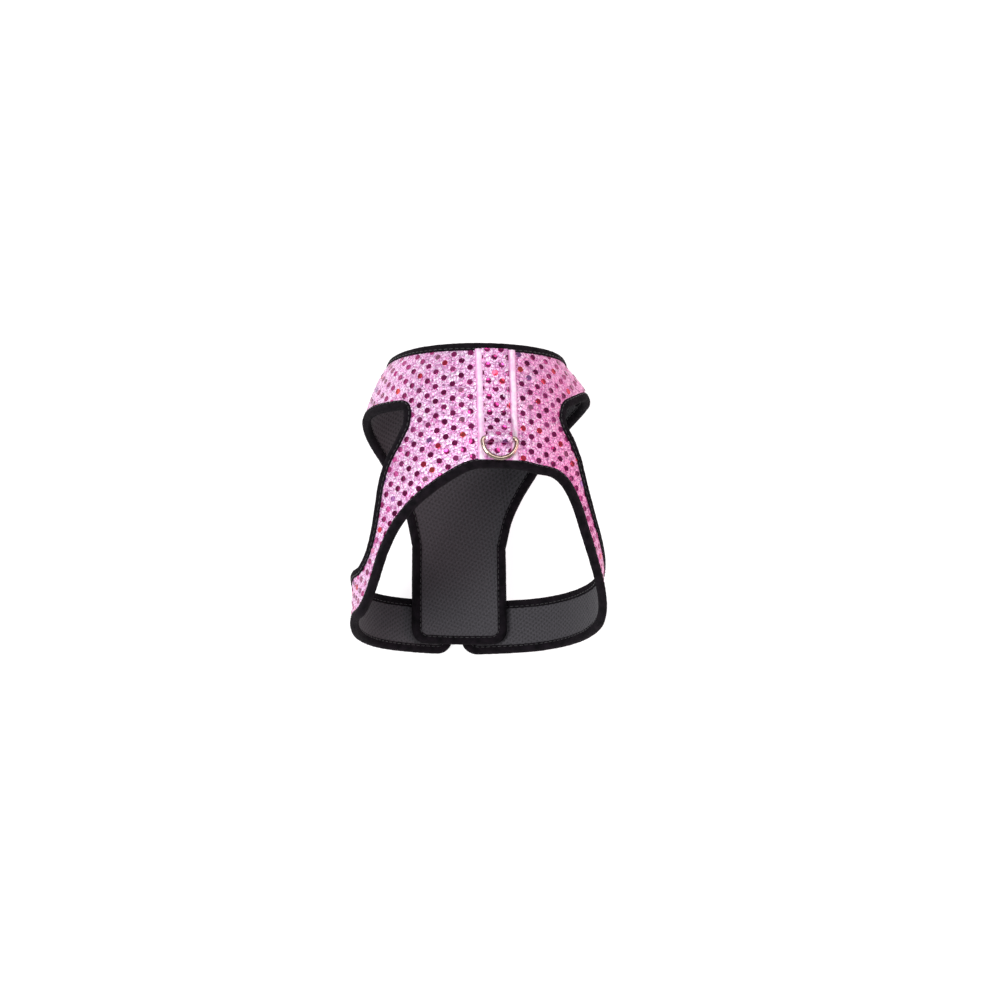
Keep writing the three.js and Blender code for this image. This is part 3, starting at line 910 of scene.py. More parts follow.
def sequins_on(name, places, wrinkles):
    """The sequins of one panel."""
    v, s = places[:, 0], places[:, 1]
    normals = form_normal(v, s)
    across = unit(form_slopes(v, s)[0])
    centres = layer_point(places, SHELL_TOP + wrinkles.slow(places), wrinkles.lift)
    solids = []
    for centre, normal, sideways in zip(centres, normals, across):
        leaning = tilted(normal, SEQUIN_LEAN)
        level = unit(sideways - (sideways @ leaning) * leaning)
        solids.append(sequin(centre + SEQUIN_LIFT * normal, leaning, level))
    return join_solids(name, solids, FOIL, random_tones(len(solids)))


def point_tree(points):
    tree = kdtree.KDTree(len(points))
    for number, point in enumerate(points):
        tree.insert(point, number)
    tree.balance()
    return tree


def distance_to(tree, points):
    return np.array([tree.find(point)[2] for point in points])


class Wrinkles:
    """The slow and the sharp relief of one panel, pressed flat under its binding."""

    def __init__(self, grids, lift=no_lift):
        places, quads = weld(grids)
        rim = places[np.unique(rim_edges(quads))]
        rim = rim[np.abs(rim[:, 0]) > 0.01]  # the two halves meet on the spine, with no edge there
        self.lift = lift
        self.rim = point_tree(form_point(rim[:, 0], rim[:, 1]))

    def from_edge(self, places):
        return distance_to(self.rim, form_point(places[:, 0], places[:, 1]))

    def slow(self, places):
        free = smoothstep(self.from_edge(places), 2.6, 8.0)
        return slow_wrinkles(on_form(places, self.lift)) * free

    def full(self, centres):
        """Relief that lies flat under each sequin as well."""
        seats = point_tree(on_form(centres, self.lift))

        def relief(places, middle):
            share = smoothstep(distance_to(seats, middle), 1.2, 2.3)
            free = smoothstep(self.from_edge(places), 1.5, 4.5)
            crinkle = creases(middle) * share * free - SEAT_DEPTH * (1 - share)
            return self.slow(places) + crinkle + seam_dip(places)

        return relief


STRAP_END_S = 31
SEAT_DEPTH = 0.05  # how far a sequin is pressed into the cloth
SEAM_DEPTH = 0.9
SEAM_WIDTH = 0.8


def seam_dip(places):
    """The cloth turns in along the shoulder seams."""
    from_seam = np.abs(np.abs(places[:, 0]) - SHOULDER_SEAM_V) * MM_PER_DEGREE * 0.95
    on_strap = places[:, 1] < STRAP_END_S
    return -SEAM_DEPTH * np.exp(-((from_seam / SEAM_WIDTH) ** 2)) * on_strap


# ---- fabric panels ----
SIDES = {"left": -1, "right": 1}


def bend_at_flank(piece):
    """Bakes the piece's placement into its mesh, and leaves it unbent."""
    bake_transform(piece)


def flat_size(grids):
    """Width and length of the flat cut, turned so that they are least."""
    flat = flat_from_place(weld(grids)[0])
    best = None
    for angle in np.radians(np.arange(0, 90, 3)):
        turn = np.array([[math.cos(angle), -math.sin(angle)], [math.sin(angle), math.cos(angle)]])
        size = np.ptp(flat @ turn, axis=0)
        if best is None or size.prod() < best.prod():
            best = size
    return best * MM


def declare_cloth(grids):
    tuple(float(side) for side in flat_size(grids))


def declare_rectangle(grid):
    """Finds where a patch or label's grid lies on the torso form, and keeps nothing of it."""
    surface = on_form(grid)


def mesh_holes(places):
    """How deep each place lies in a dimple of the air mesh, on a staggered grid, as a share."""
    flat = flat_from_place(places)
    pitch_x, pitch_y = MESH_PITCH, MESH_PITCH * math.sqrt(3)
    nearest = np.full(len(flat), np.inf)
    for shift in ((0, 0), (0.5, 0.5)):
        dx = (flat[:, 0] / pitch_x + shift[0] + 0.5) % 1 - 0.5
        dy = (flat[:, 1] / pitch_y + shift[1] + 0.5) % 1 - 0.5
        nearest = np.minimum(nearest, np.hypot(dx * pitch_x, dy * pitch_y))
    return np.clip(1 - nearest / MESH_HOLE_RADIUS, 0, 1)


def add_painted_hole_shade(piece, depth):
    """Paints shade into the holes of the air mesh, darker where they are deeper."""
    count = len(piece.data.vertices)
    tone = np.ones((count, 4), np.float32)
    shade = 1 - 0.72 * np.clip(depth * 1.6, 0, 1)
    tone[count - len(depth) :, :3] = shade[:, None]
    attribute = piece.data.color_attributes.new("Tone", "FLOAT_COLOR", "POINT")
    attribute.data.foreach_set("color", tone.ravel())


def lining_piece(name, grids, lift=no_lift):
    def dimples(places, middle):
        return MESH_HOLE_DEPTH * mesh_holes(places) + 0.06 * small_wrinkle(middle)

    piece = cloth_piece(name, grids, 0.0, LINING_THICKNESS, LINING, lift=lift, inner_relief=dimples)
    add_painted_hole_shade(piece, mesh_holes(weld(grids)[0]))
    return piece


def build_side(side):
    sign = SIDES[side]
    grids = side_patches(sign)
    wrinkles = Wrinkles(grids, wing_lift)
    centres = sequin_places(grids, wrinkles)
    relief = wrinkles.full(centres)
    shell = cloth_piece(
        f"{side}_side_shell", grids, SHELL_BASE, SHELL_TOP, CLOTH, relief=relief, lift=wing_lift
    )
    sequins = sequins_on(f"{side}_side_sequins", centres, wrinkles)
    lining = lining_piece(f"{side}_side_lining", side_patches(sign, LINING_CELL), wing_lift)
    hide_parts(f"{side}_wing_shell")
    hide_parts(f"{side}_wing_lining")
    for piece, slot in ((shell, "sequin_fabric"), (lining, "mesh_lining"), (sequins, "sequin_fabric")):
        bend_at_flank(piece)
    if side == "left":
        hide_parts("back_panel_shell")
        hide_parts("back_panel_lining")
    declare_cloth(grids)
    declare_cloth(grids)


def build_chest():
    grids = chest_patches()
    wrinkles = Wrinkles(grids)
    centres = sequin_places(grids, wrinkles)
    shell = cloth_piece("chest_shell", grids, SHELL_BASE, SHELL_TOP, CLOTH, relief=wrinkles.full(centres))
    sequins = sequins_on("chest_sequins", centres, wrinkles)
    lining = lining_piece("chest_lining", chest_patches(LINING_CELL))
    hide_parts("chest_panel_shell")
    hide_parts("chest_panel_lining")
    for piece, slot in ((shell, "sequin_fabric"), (lining, "mesh_lining"), (sequins, "sequin_fabric")):
        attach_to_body(piece, "vest")
    declare_cloth(grids)
    declare_cloth(grids)


# ---- binding ----
BINDING_PROFILE = [  # outward from the cut edge, and height
    (-BINDING_LEG, 2.45),
    (-3.15, 2.95),
    (-2.75, 3.12),
    (-2.35, 3.02),
    (-1.9, 3.22),
    (-1.1, 3.50),
    (-0.2, 3.52),
    (0.6, 3.20),
    (1.15, 2.45),
    (BINDING_REACH, 1.30),
    (1.15, 0.10),
    (0.6, -0.60),
    (-0.2, -0.92),
    (-1.1, -0.92),
    (-1.9, -0.75),
    (-2.35, -0.58),
    (-2.75, -0.68),
    (-3.15, -0.50),
    (-BINDING_LEG, 0.05),
]
STITCH_OUT = -2.4
STITCH_TOP = 3.16
STITCH_BOTTOM = -0.70
STITCH_PITCH = 3.0


BINDING_CELL = 0.85
PUCKER = 0.07  # how far the tape rises and sinks between two stitches


def even_line(line, lift):
    """Places along a line at an even spacing in millimetres, and the line's length."""
    dense = resample(line, 1200)
    run = run_along(on_form(dense, lift))
    count = max(3, round(run[-1] / BINDING_CELL))
    return point_at(np.linspace(0, run[-1], count + 1), run, dense), run[-1]


def out_of_cloth(line, outward_sign, closed, lift):
    """At each place on an edge, the direction out of the cloth."""
    points = on_form(line, lift)
    if closed:
        tangent = np.roll(points, -1, 0) - np.roll(points, 1, 0)
    else:
        tangent = np.gradient(points, axis=0)
    return unit(np.cross(tangent, form_normal(line[:, 0], line[:, 1]))) * outward_sign


def edge_point(line, outward, out, height, lift):
    """Points beside an edge, a distance out of the cloth and at a height."""
    moved = step_on_form(line, outward * np.asarray(out)[..., None])
    return layer_point(moved, np.broadcast_to(height, moved.shape[:-1]), lift)


def binding_piece(name, line, outward_sign, closed=False, lift=no_lift):
    line, length = even_line(line, lift)
    if closed:
        line = line[:-1]
    outward = out_of_cloth(line, outward_sign, closed, lift)
    base = on_form(line, lift)
    run = np.linspace(0, length, len(line))
    pucker = PUCKER * np.cos(run / STITCH_PITCH * 2 * math.pi)
    fat = 0.16 * tape_wave(base)
    middle_out, middle_height = -1.0, SHELL_TOP / 2
    columns = []
    for out, height in BINDING_PROFILE:
        near_stitch = math.exp(-(((out - STITCH_OUT) / 0.7) ** 2))
        side = 1 if height > middle_height else -1
        swell_by = 1 + 0.05 * fat + 0.03 * tape_pucker(base + out)
        grown_out = middle_out + (out - middle_out) * swell_by
        grown_height = middle_height + (height - middle_height) * swell_by + side * near_stitch * pucker
        columns.append(edge_point(line, outward, grown_out, grown_height, lift))
    rings = np.stack(columns, 1)
    around = np.concatenate([[0], np.cumsum(np.hypot(*np.diff(np.array(BINDING_PROFILE), axis=0).T))])
    uv = np.stack(np.broadcast_arrays(run[:, None], around[None]), -1).reshape(-1, 2)
    return tube_piece(name, rings, TAPE, closed=closed, uv=uv)


CAPSULE_STATIONS = [  # share of the length, of the thickness, and rise in radii
    (0.0, 0.25, -0.9),
    (0.12, 0.85, -0.2),
    (0.35, 1.0, 0.25),
    (0.65, 1.0, 0.25),
    (0.88, 0.85, -0.2),
    (1.0, 0.25, -0.9),
]


def capsule(start, end, up, radius, sides=7):
    """A short thread lying between two points, its ends pulled in."""
    axis = end - start
    side = unit(np.cross(axis, up))
    lift_axis = unit(np.cross(side, axis))
    angle = angles_round(sides)
    points = []
    for share, thickness, rise in CAPSULE_STATIONS:
        centre = start + axis * share + lift_axis * rise * radius
        ring = np.cos(angle)[:, None] * side + np.sin(angle)[:, None] * lift_axis
        points += list(centre + radius * thickness * ring)
    return np.array(points), tube_faces(len(CAPSULE_STATIONS), sides, False)


def stitch_solids(path, ups, pitch, radius=0.2, fill=0.74):
    """Stitches along a path of points in millimetres."""
    run = run_along(path)
    count = max(1, int(run[-1] / pitch))
    actual = run[-1] / count
    solids = []
    for number in range(count):
        ends = [(number + (1 - fill) / 2) * actual, (number + (1 + fill) / 2) * actual]
        start, end = (point_at(at, run, path) for at in ends)
        solids.append(capsule(start, end, point_at(sum(ends) / 2, run, ups), radius))
    return solids


def binding_stitches(line, outward_sign, closed, lift):
    line, _ = even_line(line, lift)
    outward = out_of_cloth(line, outward_sign, closed, lift)
    normal = form_normal(line[:, 0], line[:, 1])
    top = edge_point(line, outward, STITCH_OUT, STITCH_TOP, lift)
    bottom = edge_point(line, outward, STITCH_OUT, STITCH_BOTTOM, lift)
    return stitch_solids(top, normal, STITCH_PITCH) + stitch_solids(bottom, -normal, STITCH_PITCH)


def bound_edge(name, line, outward_sign, nodes, attach, closed=False, lift=no_lift):
    """A binding with its two rows of stitches."""
    tape = binding_piece(name, line, outward_sign, closed, lift)
    rows = binding_stitches(line, outward_sign, closed, lift)
    stitches = join_solids(f"{name}_stitches", rows, BLACK_THREAD)
    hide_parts(*nodes)
    for piece in (tape, stitches):
        attach(piece)


def ride_vest(piece):
    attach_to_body(piece, "vest")


def build_bindings():
    half_neck = join([(0, 0), (SHOULDER_SEAM_V, 0)], [(SHOULDER_SEAM_V, 0), (180, 0)])
    neck = join(half_neck, across_belly(half_neck)[::-1])
    bound_edge("neck_edge_binding", neck, -1, ["neck_binding"], ride_vest, closed=True)
    for side, sign in SIDES.items():
        outer = join(
            hem_middle,
            hem_side,
            wing_rear,
            [wing_rear[-1], wing_front[-1]],
            wing_front[::-1],
            armhole_rear[::-1],
            strap_edge,
        )
        nodes = [f"{side}_wing_binding"] + (["hem_binding"] if side == "left" else [])
        bound_edge(
            f"{side}_edge_binding",
            on_side(outer, sign),
            sign,
            nodes,
            lambda piece, s=side: bend_at_flank(piece),
            lift=wing_lift,
        )
        inner = join(chest_edge, [(TAB_EDGE_V, CHEST_WAIST_S), (TAB_EDGE_V, BINDING_JOIN_S)])
        bound_edge(
            f"{side}_chest_binding", on_side(inner, sign), sign, [f"{side}_armhole_binding"], ride_vest
        )
    half_tab = join(
        [(TAB_EDGE_V, BINDING_JOIN_S), (TAB_EDGE_V, TAB_END_S - CORNER_RADIUS)],
        across_belly(tab_corner)[::-1],
        [(360 - tab_corner[0][0], TAB_END_S), (180, TAB_END_S)],
    )
    tab = join(half_tab, across_belly(half_tab)[::-1])
    bound_edge("tab_end_binding", tab, 1, ["chest_tab_binding"], ride_vest)


# ---- webbing, strip and ring ----
def spine_point(x, s, n):
    """A point above the spine: x across, s along and n up, in millimetres."""
    x, s, n = np.broadcast_arrays(np.asarray(x, float), s, n)
    v = np.degrees(x / (swell(SIDE, s) + n))
    return layer_point(np.stack([v, s], -1), n)


def band_section(width, thickness, steps, crown=0.0):
    """Half-round edged section of a flat band: across and up from its underside."""
    round_steps = 4
    angle = np.linspace(-math.pi / 2, math.pi / 2, round_steps + 1)
    half, r = width / 2, thickness / 2
    right = [(half - r + r * math.cos(a), r + r * math.sin(a)) for a in angle]
    across = np.linspace(half - r, -half + r, steps + 1)[1:-1]
    top = [(x, thickness + crown * (1 - (x / half) ** 2)) for x in across]
    left = [(-x, y) for x, y in reversed(right)]
    bottom = [(x, 0.0) for x in across[::-1]]
    return np.array(right + top + left + bottom)


RIB_PITCH = 1.3
GRAIN_PITCH = 1.1
THICK_EDGE_X = 8.6  # the webbing is thickest this far from its middle, near each edge
WEBBING_SINK = 0.25  # how far it is pulled into the knit


def build_webbing():
    section = band_section(WEBBING_WIDTH, WEBBING_TOP - WEBBING_BASE, 46)
    steps = steps_for(WEBBING_END_S - COVER_START_S, 0.55)
    stations = np.linspace(COVER_START_S, WEBBING_END_S, steps)
    x = section[None, :, 0] + 0.10 * np.sin(stations * 0.31)[:, None]
    on_top = section[:, 1] > 0.5
    ribs = 0.05 * np.abs(np.sin(section[:, 0] * math.pi / RIB_PITCH)) * on_top
    ribs += 0.35 * np.exp(-(((np.abs(section[:, 0]) - THICK_EDGE_X) / 0.9) ** 2)) * on_top
    grain = 0.03 * np.sin(stations * 2 * math.pi / GRAIN_PITCH)[:, None] * on_top[None]
    n = WEBBING_BASE - WEBBING_SINK + section[None, :, 1] + ribs[None] + grain
    rings = spine_point(x, np.broadcast_to(stations[:, None], x.shape), n)
    uv = np.stack(np.broadcast_arrays(section[None, :, 0], stations[:, None]), -1).reshape(-1, 2)
    webbing = tube_piece("spine_webbing", rings, WEBBING, uv=uv)
    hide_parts("back_webbing", "hem_bartack")
    ride_vest(webbing)


def strip_path():
    """The strip's middle line in (s, n), from the neck, over the ring's bar and back under itself."""
    low = WEBBING_TOP - 0.2 + COVER_THICKNESS / 2
    high = low + COVER_THICKNESS + 0.3
    wrap = RING_WIRE + 0.4 + COVER_THICKNESS / 2
    around = [
        (RING_S + wrap * math.cos(math.radians(a)), RING_N + wrap * math.sin(math.radians(a)))
        for a in (100, 60, 20, -20, -60)
    ]
    points = [
        (COVER_START_S, low),
        (14, low),
        (26, low),
        (36, low),
        (RING_S - 8, high),
        (RING_S - 4.2, high + 0.9),
        *around,
        (RING_S - 1.6, low + 0.15),
        (RING_S - 7, low),
    ]
    return smooth_line(points, 190)


STRIP_PITCH = (6.9, 8.4)
STRIP_LATTICE_SHIFT = (-0.4, 4.8)
STRIP_SEQUIN_LEAN = 0.05


def strip_frames(path):
    """At each point of the strip's path, the direction out of its face, in (s, n)."""
    along = unit(np.gradient(path, axis=0))
    return np.stack([-along[:, 1], along[:, 0]], -1)


def strip_surface(path, out, x, offset):
    """Points on the strip: across by x and off its middle line by offset."""
    s = path[..., 0] + out[..., 0] * offset
    n = path[..., 1] + out[..., 1] * offset
    return spine_point(x, s, n)


def strip_sequins(name, path, run, out, length, hidden_after):
    """Sequins on a strip, cut off where its edges fold under."""
    half_width = COVER_WIDTH / 2 - 0.1
    centres = lattice(half_width + 2, length + 4, STRIP_PITCH, STRIP_LATTICE_SHIFT)
    keep = (np.abs(centres[:, 0]) < half_width + 0.9) & (centres[:, 1] > 0.2)
    centres = centres[keep & (centres[:, 1] < hidden_after)]
    solids = []
    angle = angles_round(SEQUIN_SIDES)
    for cx, cy in centres:
        lean = RANDOM.normal(0, STRIP_SEQUIN_LEAN, 2)
        points = []
        for level, (share, height) in enumerate(SEQUIN_PROFILE):
            turn = angle if level else np.zeros(1)
            dx = SEQUIN_RADIUS * share * np.cos(turn)
            dy = SEQUIN_RADIUS * share * np.sin(turn)
            x = np.clip(cx + dx, -half_width, half_width)
            at = np.clip(cy + dy, run[0], run[-1])
            middle, side = point_at(at, run, path), point_at(at, run, out)
            offset = COVER_THICKNESS / 2 + 0.07 + height + (dx * lean[0] + dy * lean[1])
            points += list(strip_surface(middle, side, x + COVER_SHIFT, offset))
        faces = sequin(np.zeros(3), np.array([0.0, 0, 1]), np.array([1.0, 0, 0]))[1]
        solids.append((np.array(points), faces))
    return join_solids(name, solids, FOIL, random_tones(len(solids)))


def strip_piece(name, path, thickness):
    """A strip of sequin cloth along a path in (s, n), with the distance along it and its outward side."""
    out = strip_frames(path)
    run = run_along(path)
    section = band_section(COVER_WIDTH, thickness, 22)
    x = np.broadcast_to(section[None, :, 0] + COVER_SHIFT, (len(path), len(section)))
    offset = np.broadcast_to(section[None, :, 1] - thickness / 2, x.shape).copy()
    base = strip_surface(path[:, None, :], out[:, None, :], x, 0.0)
    offset += 0.6 * creases(base.reshape(-1, 3)).reshape(x.shape) * (section[None, :, 1] > thickness / 2)
    rings = strip_surface(path[:, None, :], out[:, None, :], x, offset)
    uv = np.stack(np.broadcast_arrays(section[None, :, 0] + 40, run[:, None]), -1).reshape(-1, 2)
    return tube_piece(name, rings, CLOTH, uv=uv), run, out


TACK_STITCHES = 22
TACK_WIDTH = 11.2
TACK_FROM_TO_S = (39.6, 41.0)


def build_strip():
    path = strip_path()
    strip, run, out = strip_piece("strap_strip", path, COVER_THICKNESS)
    sequins = strip_sequins("strap_strip_sequins", path, run, out, run[-1], run[-1] - 9)
    lower_path = straight((RING_S + 1.0, WEBBING_TOP + 0.05), (LOWER_COVER_END_S, WEBBING_TOP + 0.05), 20)
    lower, lower_run, lower_out = strip_piece("lower_strap_strip", lower_path, LOWER_COVER_THICKNESS)
    lower_sequins = strip_sequins(
        "lower_strap_strip_sequins", lower_path, lower_run, lower_out, 9, 8.6
    )
    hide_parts("strap_cover")
    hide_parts("lower_strap_cover")
    tack_solids = []
    for number in range(TACK_STITCHES):
        x = -TACK_WIDTH / 2 + number * TACK_WIDTH / (TACK_STITCHES - 1) + COVER_SHIFT
        ends = [spine_point(x, s, WEBBING_TOP + 0.75) for s in TACK_FROM_TO_S]
        tack_solids.append(capsule(ends[0], ends[1], form_normal(0.0, 40.0), 0.16))
    tack = join_solids("ring_tack_stitches", tack_solids, PINK_THREAD)
    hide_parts("ring_bartack")
    side_rows = []
    for edge in (-1, 1):
        s = np.linspace(COVER_START_S + 1, RING_S - 12, 120)
        x = np.full_like(s, edge * (COVER_WIDTH / 2 - 1.0) + COVER_SHIFT)
        row = spine_point(x, s, WEBBING_TOP + 0.72)
        side_rows += stitch_solids(row, np.broadcast_to(form_normal(0.0, 30.0), row.shape), 2.6, 0.15)
    rows = join_solids("strap_stitches", side_rows, PINK_THREAD)
    for piece, slot in (
        (strip, "sequin_fabric"),
        (sequins, "sequin_fabric"),
        (lower, "sequin_fabric"),
        (lower_sequins, "sequin_fabric"),
        (tack, "thread"),
        (rows, "thread"),
    ):
        ride_vest(piece)


RING_SIDES = 20


def arc(middle_x, radius, degrees):
    """Points at the given angles on an arc of the ring's middle line."""
    angle = np.radians(degrees)
    return np.stack([middle_x + radius * np.cos(angle), -RING_CORNER + radius * np.sin(angle)], -1)


def build_ring():
    """The welded D-ring: a straight bar and a round bow, of one round wire."""
    half = RING_INNER / 2 + RING_WIRE
    corner_x = half - RING_CORNER
    line = np.vstack(
        [
            [(x, 0.0) for x in np.linspace(-corner_x, corner_x, 24)],
            arc(corner_x, RING_CORNER, np.linspace(90, 0, 8)[1:]),
            arc(0.0, half, np.linspace(0, -180, 61)[1:-1]),
            arc(-corner_x, RING_CORNER, np.linspace(180, 90, 8)[:-1]),
        ]
    )
    tangent = unit(np.roll(line, -1, 0) - np.roll(line, 1, 0))
    angle = angles_round(RING_SIDES)
    in_plane = np.stack([-tangent[:, 1], tangent[:, 0]], -1)
    rings = np.zeros((len(line), RING_SIDES, 3))
    rings[:, :, :2] = line[:, None] + in_plane[:, None] * (RING_WIRE * np.cos(angle))[None, :, None]
    rings[:, :, 2] = RING_WIRE * np.sin(angle)[None]
    normal = form_normal(0.0, RING_S)
    turn = math.atan2(-normal[1], normal[2]) + math.radians(RING_DROOP)
    rotation = np.array(
        [[1, 0, 0], [0, math.cos(turn), -math.sin(turn)], [0, math.sin(turn), math.cos(turn)]]
    )
    centre = layer_point(np.array([0.0, RING_S]), np.array(RING_N))
    ring = tube_piece("leash_d_ring", rings @ rotation.T + centre, NICKEL_WITH_PAINTED_REFLECTION, closed=True)
    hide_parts("d_ring")
    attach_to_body(ring, "leash_ring")


# ---- patches, tapes and label ----
def rectangle_grid(from_v, to_v, from_s, to_s, cell=CELL):
    columns = steps_for(abs(to_v - from_v) * 1.15, cell)
    rows = steps_for(abs(to_s - from_s), cell)
    return ruled_patch([(from_v, from_s), (to_v, from_s)], [(from_v, to_s), (to_v, to_s)], columns, rows)


HOOK_PROFILE = [(0.0, 0.0), (0.30, 0.0), (0.48, 0.10), (0.46, 0.26)]  # up, and along the lean
HOOK_RADIUS = 0.085
FIBRE_RADIUS = 0.045
FIBRES = 2200


def thin_tube(path, side, radius, sides):
    """A closed tube along a path that bends in one plane, with side across that plane."""
    angle = angles_round(sides)
    points = []
    for point, direction in zip(path, unit(np.gradient(path, axis=0))):
        other = unit(np.cross(direction, side))
        points += list(point + radius * (np.cos(angle)[:, None] * side + np.sin(angle)[:, None] * other))
    return np.array(points), tube_faces(len(path), sides, False)


def hook_solid(foot, up, lean):
    """One nylon hook: a short stem with a bent tip."""
    path = np.array([foot + up * rise + lean * reach for rise, reach in HOOK_PROFILE])
    return thin_tube(path, unit(np.cross(up, lean)), HOOK_RADIUS, 5)


def build_hook_patches():
    for side, sign in SIDES.items():
        grid = on_side(rectangle_grid(164.5, 172.5, 115, 131), sign)
        base = cloth_piece(
            f"{side}_hook_tape", [grid], HOOK_BASE + 0.45, HOOK_BASE + PATCH_THICKNESS, HOOK_TAPE
        )
        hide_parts(f"{side}_hook_patch")
        hooks = []
        for s in np.arange(115.7, 130.6, 0.95):
            for v in np.arange(165.0, 172.2, 0.85):
                place = np.array([sign * v, s])
                normal = form_normal(place[0], place[1])
                foot = layer_point(place, np.array(HOOK_BASE + 0.5))
                lean = unit(form_slopes(place[0], place[1])[1]) * RANDOM.choice([-1, 1])
                hooks.append(hook_solid(foot, -normal, lean))
        hook_field = join_solids(f"{side}_hooks", hooks, HOOK_TAPE)
        for piece in (base, hook_field):
            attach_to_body(piece, f"{side}_wing")


def fibre_solid(foot, normal, along, across):
    """One curled fibre of the loop pile."""
    turn = RANDOM.uniform(0, 2 * math.pi)
    heading = math.cos(turn) * along + math.sin(turn) * across
    reach = RANDOM.uniform(0.5, 1.1)
    rise = RANDOM.uniform(0.28, 0.5)
    arc = np.linspace(0, math.pi, 6)
    path = foot + (1 - np.cos(arc))[:, None] / 2 * reach * heading + np.sin(arc)[:, None] * rise * normal
    return thin_tube(path, unit(np.cross(heading, normal)), FIBRE_RADIUS, 4)


def build_loop_patch():
    grid = rectangle_grid(163, 197, 113, 127)
    base = cloth_piece(
        "loop_tape",
        [grid],
        LOOP_BASE - 0.2,
        LOOP_BASE + 0.35,
        LOOP_TAPE,
        relief=lambda places, middle: 0.12 * crinkle_b(middle),
    )
    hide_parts("loop_patch")
    fibres = []
    for _ in range(FIBRES):
        place = np.array([RANDOM.uniform(163.6, 196.2), RANDOM.uniform(113.6, 126.2)])
        along_v, along_s = form_slopes(place[0], place[1])
        foot = layer_point(place, np.array(LOOP_BASE + 0.3))
        fibres.append(fibre_solid(foot, form_normal(place[0], place[1]), unit(along_v), unit(along_s)))
    pile = join_solids("loop_pile", fibres, LOOP_TAPE)
    for piece in (base, pile):
        ride_vest(piece)
    declare_rectangle(grid)


def rectangle_path(from_v, to_v, from_s, to_s):
    corners = [(from_v, from_s), (to_v, from_s), (to_v, to_s), (from_v, to_s), (from_v, from_s)]
    return resample(corners, 240)


def build_patch_stitches():
    """The rectangles of thread that hold the hook patches, seen on the outside of the wings."""
    for side, sign in SIDES.items():
        line = on_side(rectangle_path(165.3, 171.7, 116, 130), sign)
        path = layer_point(line, np.full(len(line), SHELL_TOP + 0.15), wing_lift)
        rows = stitch_solids(path, form_normal(line[:, 0], line[:, 1]), 2.4, 0.17)
        piece = join_solids(f"{side}_wing_patch_stitches", rows, PINK_THREAD)
        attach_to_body(piece, f"{side}_wing")


def build_shoulder_seams():
    """A row of stitches each side of the shoulder seams, and the tape that covers them inside."""
    for side, sign in SIDES.items():
        rows = []
        for shift in (-1.5, 1.5):
            v = SHOULDER_SEAM_V + shift
            line = on_side(straight((v, 3.6), (v, 24.6), 60), sign)
            path = layer_point(line, np.full(len(line), SHELL_TOP + 0.12))
            rows += stitch_solids(path, form_normal(line[:, 0], line[:, 1]), 2.6, 0.17)
        stitches = join_solids(f"{side}_shoulder_stitches", rows, PINK_THREAD)
        grid = on_side(rectangle_grid(SHOULDER_SEAM_V - 4, SHOULDER_SEAM_V + 4, 3.2, 25.0), sign)
        tape = cloth_piece(
            f"{side}_shoulder_seam_tape",
            [grid],
            -0.75,
            0.1,
            TAPE,
            inner_relief=lambda places, middle: 0.06 * tape_pucker(middle),
        )
        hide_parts(f"{side}_shoulder_tape")
        for piece, slot in ((stitches, "thread"), (tape, "binding_tape")):
            ride_vest(piece)


def build_label():
    """A blank satin label, sewn inside the neck."""
    grid = rectangle_grid(-8, 8, 3.0, 18.4)

    def hanging(places, middle):
        return -0.25 * np.clip((places[:, 1] - 8) / 10, 0, 1) + 0.08 * small_wrinkle(middle)

    label = cloth_piece("blank_label", [grid], -0.55, -0.2, SATIN, inner_relief=hanging)
    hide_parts("care_label")
    ride_vest(label)
    declare_rectangle(grid)


# ---- stage ----
FLOOR_SIZE = 8
FLOOR_GAP = 0.0004  # below the lowest point of the model
FLOOR_GLOW = 0.85
LIGHT_TARGET = (0, -0.05, 0)


def build_floor():
    bpy.ops.mesh.primitive_plane_add(size=FLOOR_SIZE, location=(0, 0, cad_low.z - FLOOR_GAP))
    floor = bpy.context.object
    floor.name = "studio_floor"
    material, nodes = new_material("studio_paper", (0.30, 0.30, 0.30), 0.9)
    nodes.shader.inputs["Emission Color"].default_value = (1, 1, 1, 1)
    nodes.shader.inputs["Emission Strength"].default_value = FLOOR_GLOW
    nodes.colour(nodes.mottle(nodes.object_space(), 3, 2, [(0.3, (0.29,) * 3), (0.7, (0.32,) * 3)]))
    floor.data.materials.append(material)


def add_area_light(name, location, size, power, colour=(1, 1, 1)):
    """A soft round light that faces the harness, its size in metres and its power in watts."""
    light = bpy.data.lights.new(name, "AREA")
    light.shape = "DISK"
    light.size = size
    light.energy = power
    light.color = colour
    lamp = bpy.data.objects.new(name, light)
    bpy.context.collection.objects.link(lamp)
    lamp.location = location
    lamp.rotation_euler = (Vector(LIGHT_TARGET) - Vector(location)).to_track_quat("-Z", "Y").to_euler()


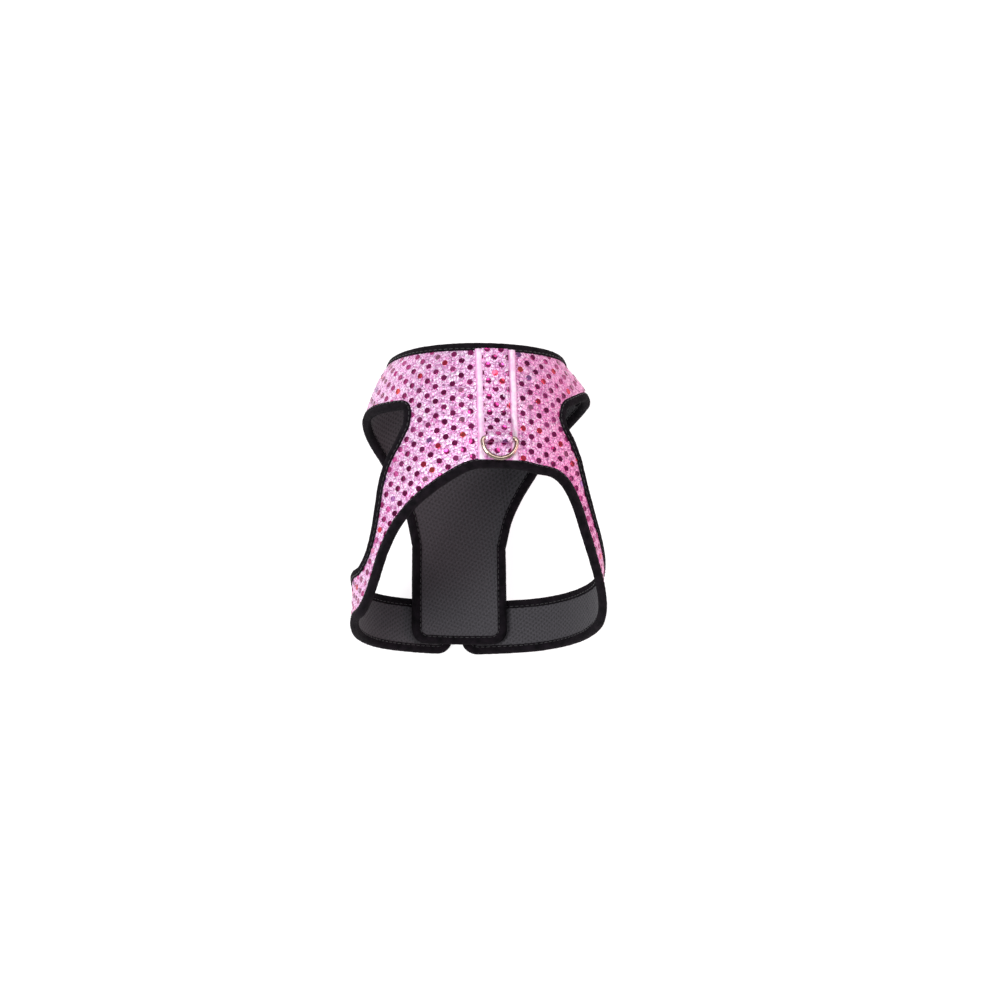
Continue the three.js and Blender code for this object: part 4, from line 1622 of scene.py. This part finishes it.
def build_lights():
    world = bpy.data.worlds.new("studio")
    world.use_nodes = True
    background = world.node_tree.nodes["Background"]
    background.inputs["Color"].default_value = (0.95, 0.96, 1.0, 1)
    background.inputs["Strength"].default_value = 0.45
    bpy.context.scene.world = world
    add_area_light("key_softbox", (-1.1, -0.5, 1.5), 0.7, 27)
    add_area_light("top_softbox", (0.1, 0.5, 1.9), 0.8, 9)
    add_area_light("side_fill", (1.5, -0.2, 0.8), 0.8, 9, (1.0, 0.60, 0.66))
    bpy.context.scene.view_settings.view_transform = "Standard"


# ---- camera ----
CAMERA_TILT = 14.1  # from straight down, towards the tail
CAMERA_TURN = 10.1  # towards the wearer's left
CAMERA_ROLL = -0.6
CAMERA_DISTANCE = 1.23
CAMERA_TARGET = (0.0, -0.0313, 0.0)
TARGET_OFF_CENTRE = (-0.0231, 0.0673)  # of the picture's side, right and up
LENS = 85.0
SENSOR = 36.0


def build_camera():
    tilt, turn, roll = (math.radians(a) for a in (CAMERA_TILT, CAMERA_TURN, CAMERA_ROLL))
    back = np.array([-math.sin(turn) * math.cos(tilt), -math.sin(tilt), math.cos(turn) * math.cos(tilt)])
    target = np.array(CAMERA_TARGET)
    up_hint = np.array([0.0, 1.0, 0.0])
    right = unit(np.cross(up_hint, back))
    up = np.cross(back, right)
    right, up = (
        right * math.cos(roll) + up * math.sin(roll),
        up * math.cos(roll) - right * math.sin(roll),
    )
    eye = target + back * CAMERA_DISTANCE
    reach = SENSOR / LENS * CAMERA_DISTANCE
    aim = target - right * TARGET_OFF_CENTRE[0] * reach - up * TARGET_OFF_CENTRE[1] * reach
    forward = unit(aim - eye)
    side = unit(np.cross(forward, up))
    over = np.cross(side, forward)
    camera = bpy.data.cameras.new("camera")
    camera.lens = LENS
    camera.sensor_width = SENSOR
    holder = bpy.data.objects.new("camera", camera)
    bpy.context.collection.objects.link(holder)
    holder.location = eye
    holder.rotation_euler = Matrix([list(row) for row in np.stack([side, over, -forward], 1)]).to_euler()
    camera.clip_start, camera.clip_end = 0.05, 20
    bpy.context.scene.camera = holder


for side_name in SIDES:
    build_side(side_name)
build_chest()
build_bindings()
build_webbing()
build_strip()
build_ring()
build_hook_patches()
build_loop_patch()
build_patch_stitches()
build_shoulder_seams()
build_label()
build_floor()
build_lights()
build_camera()
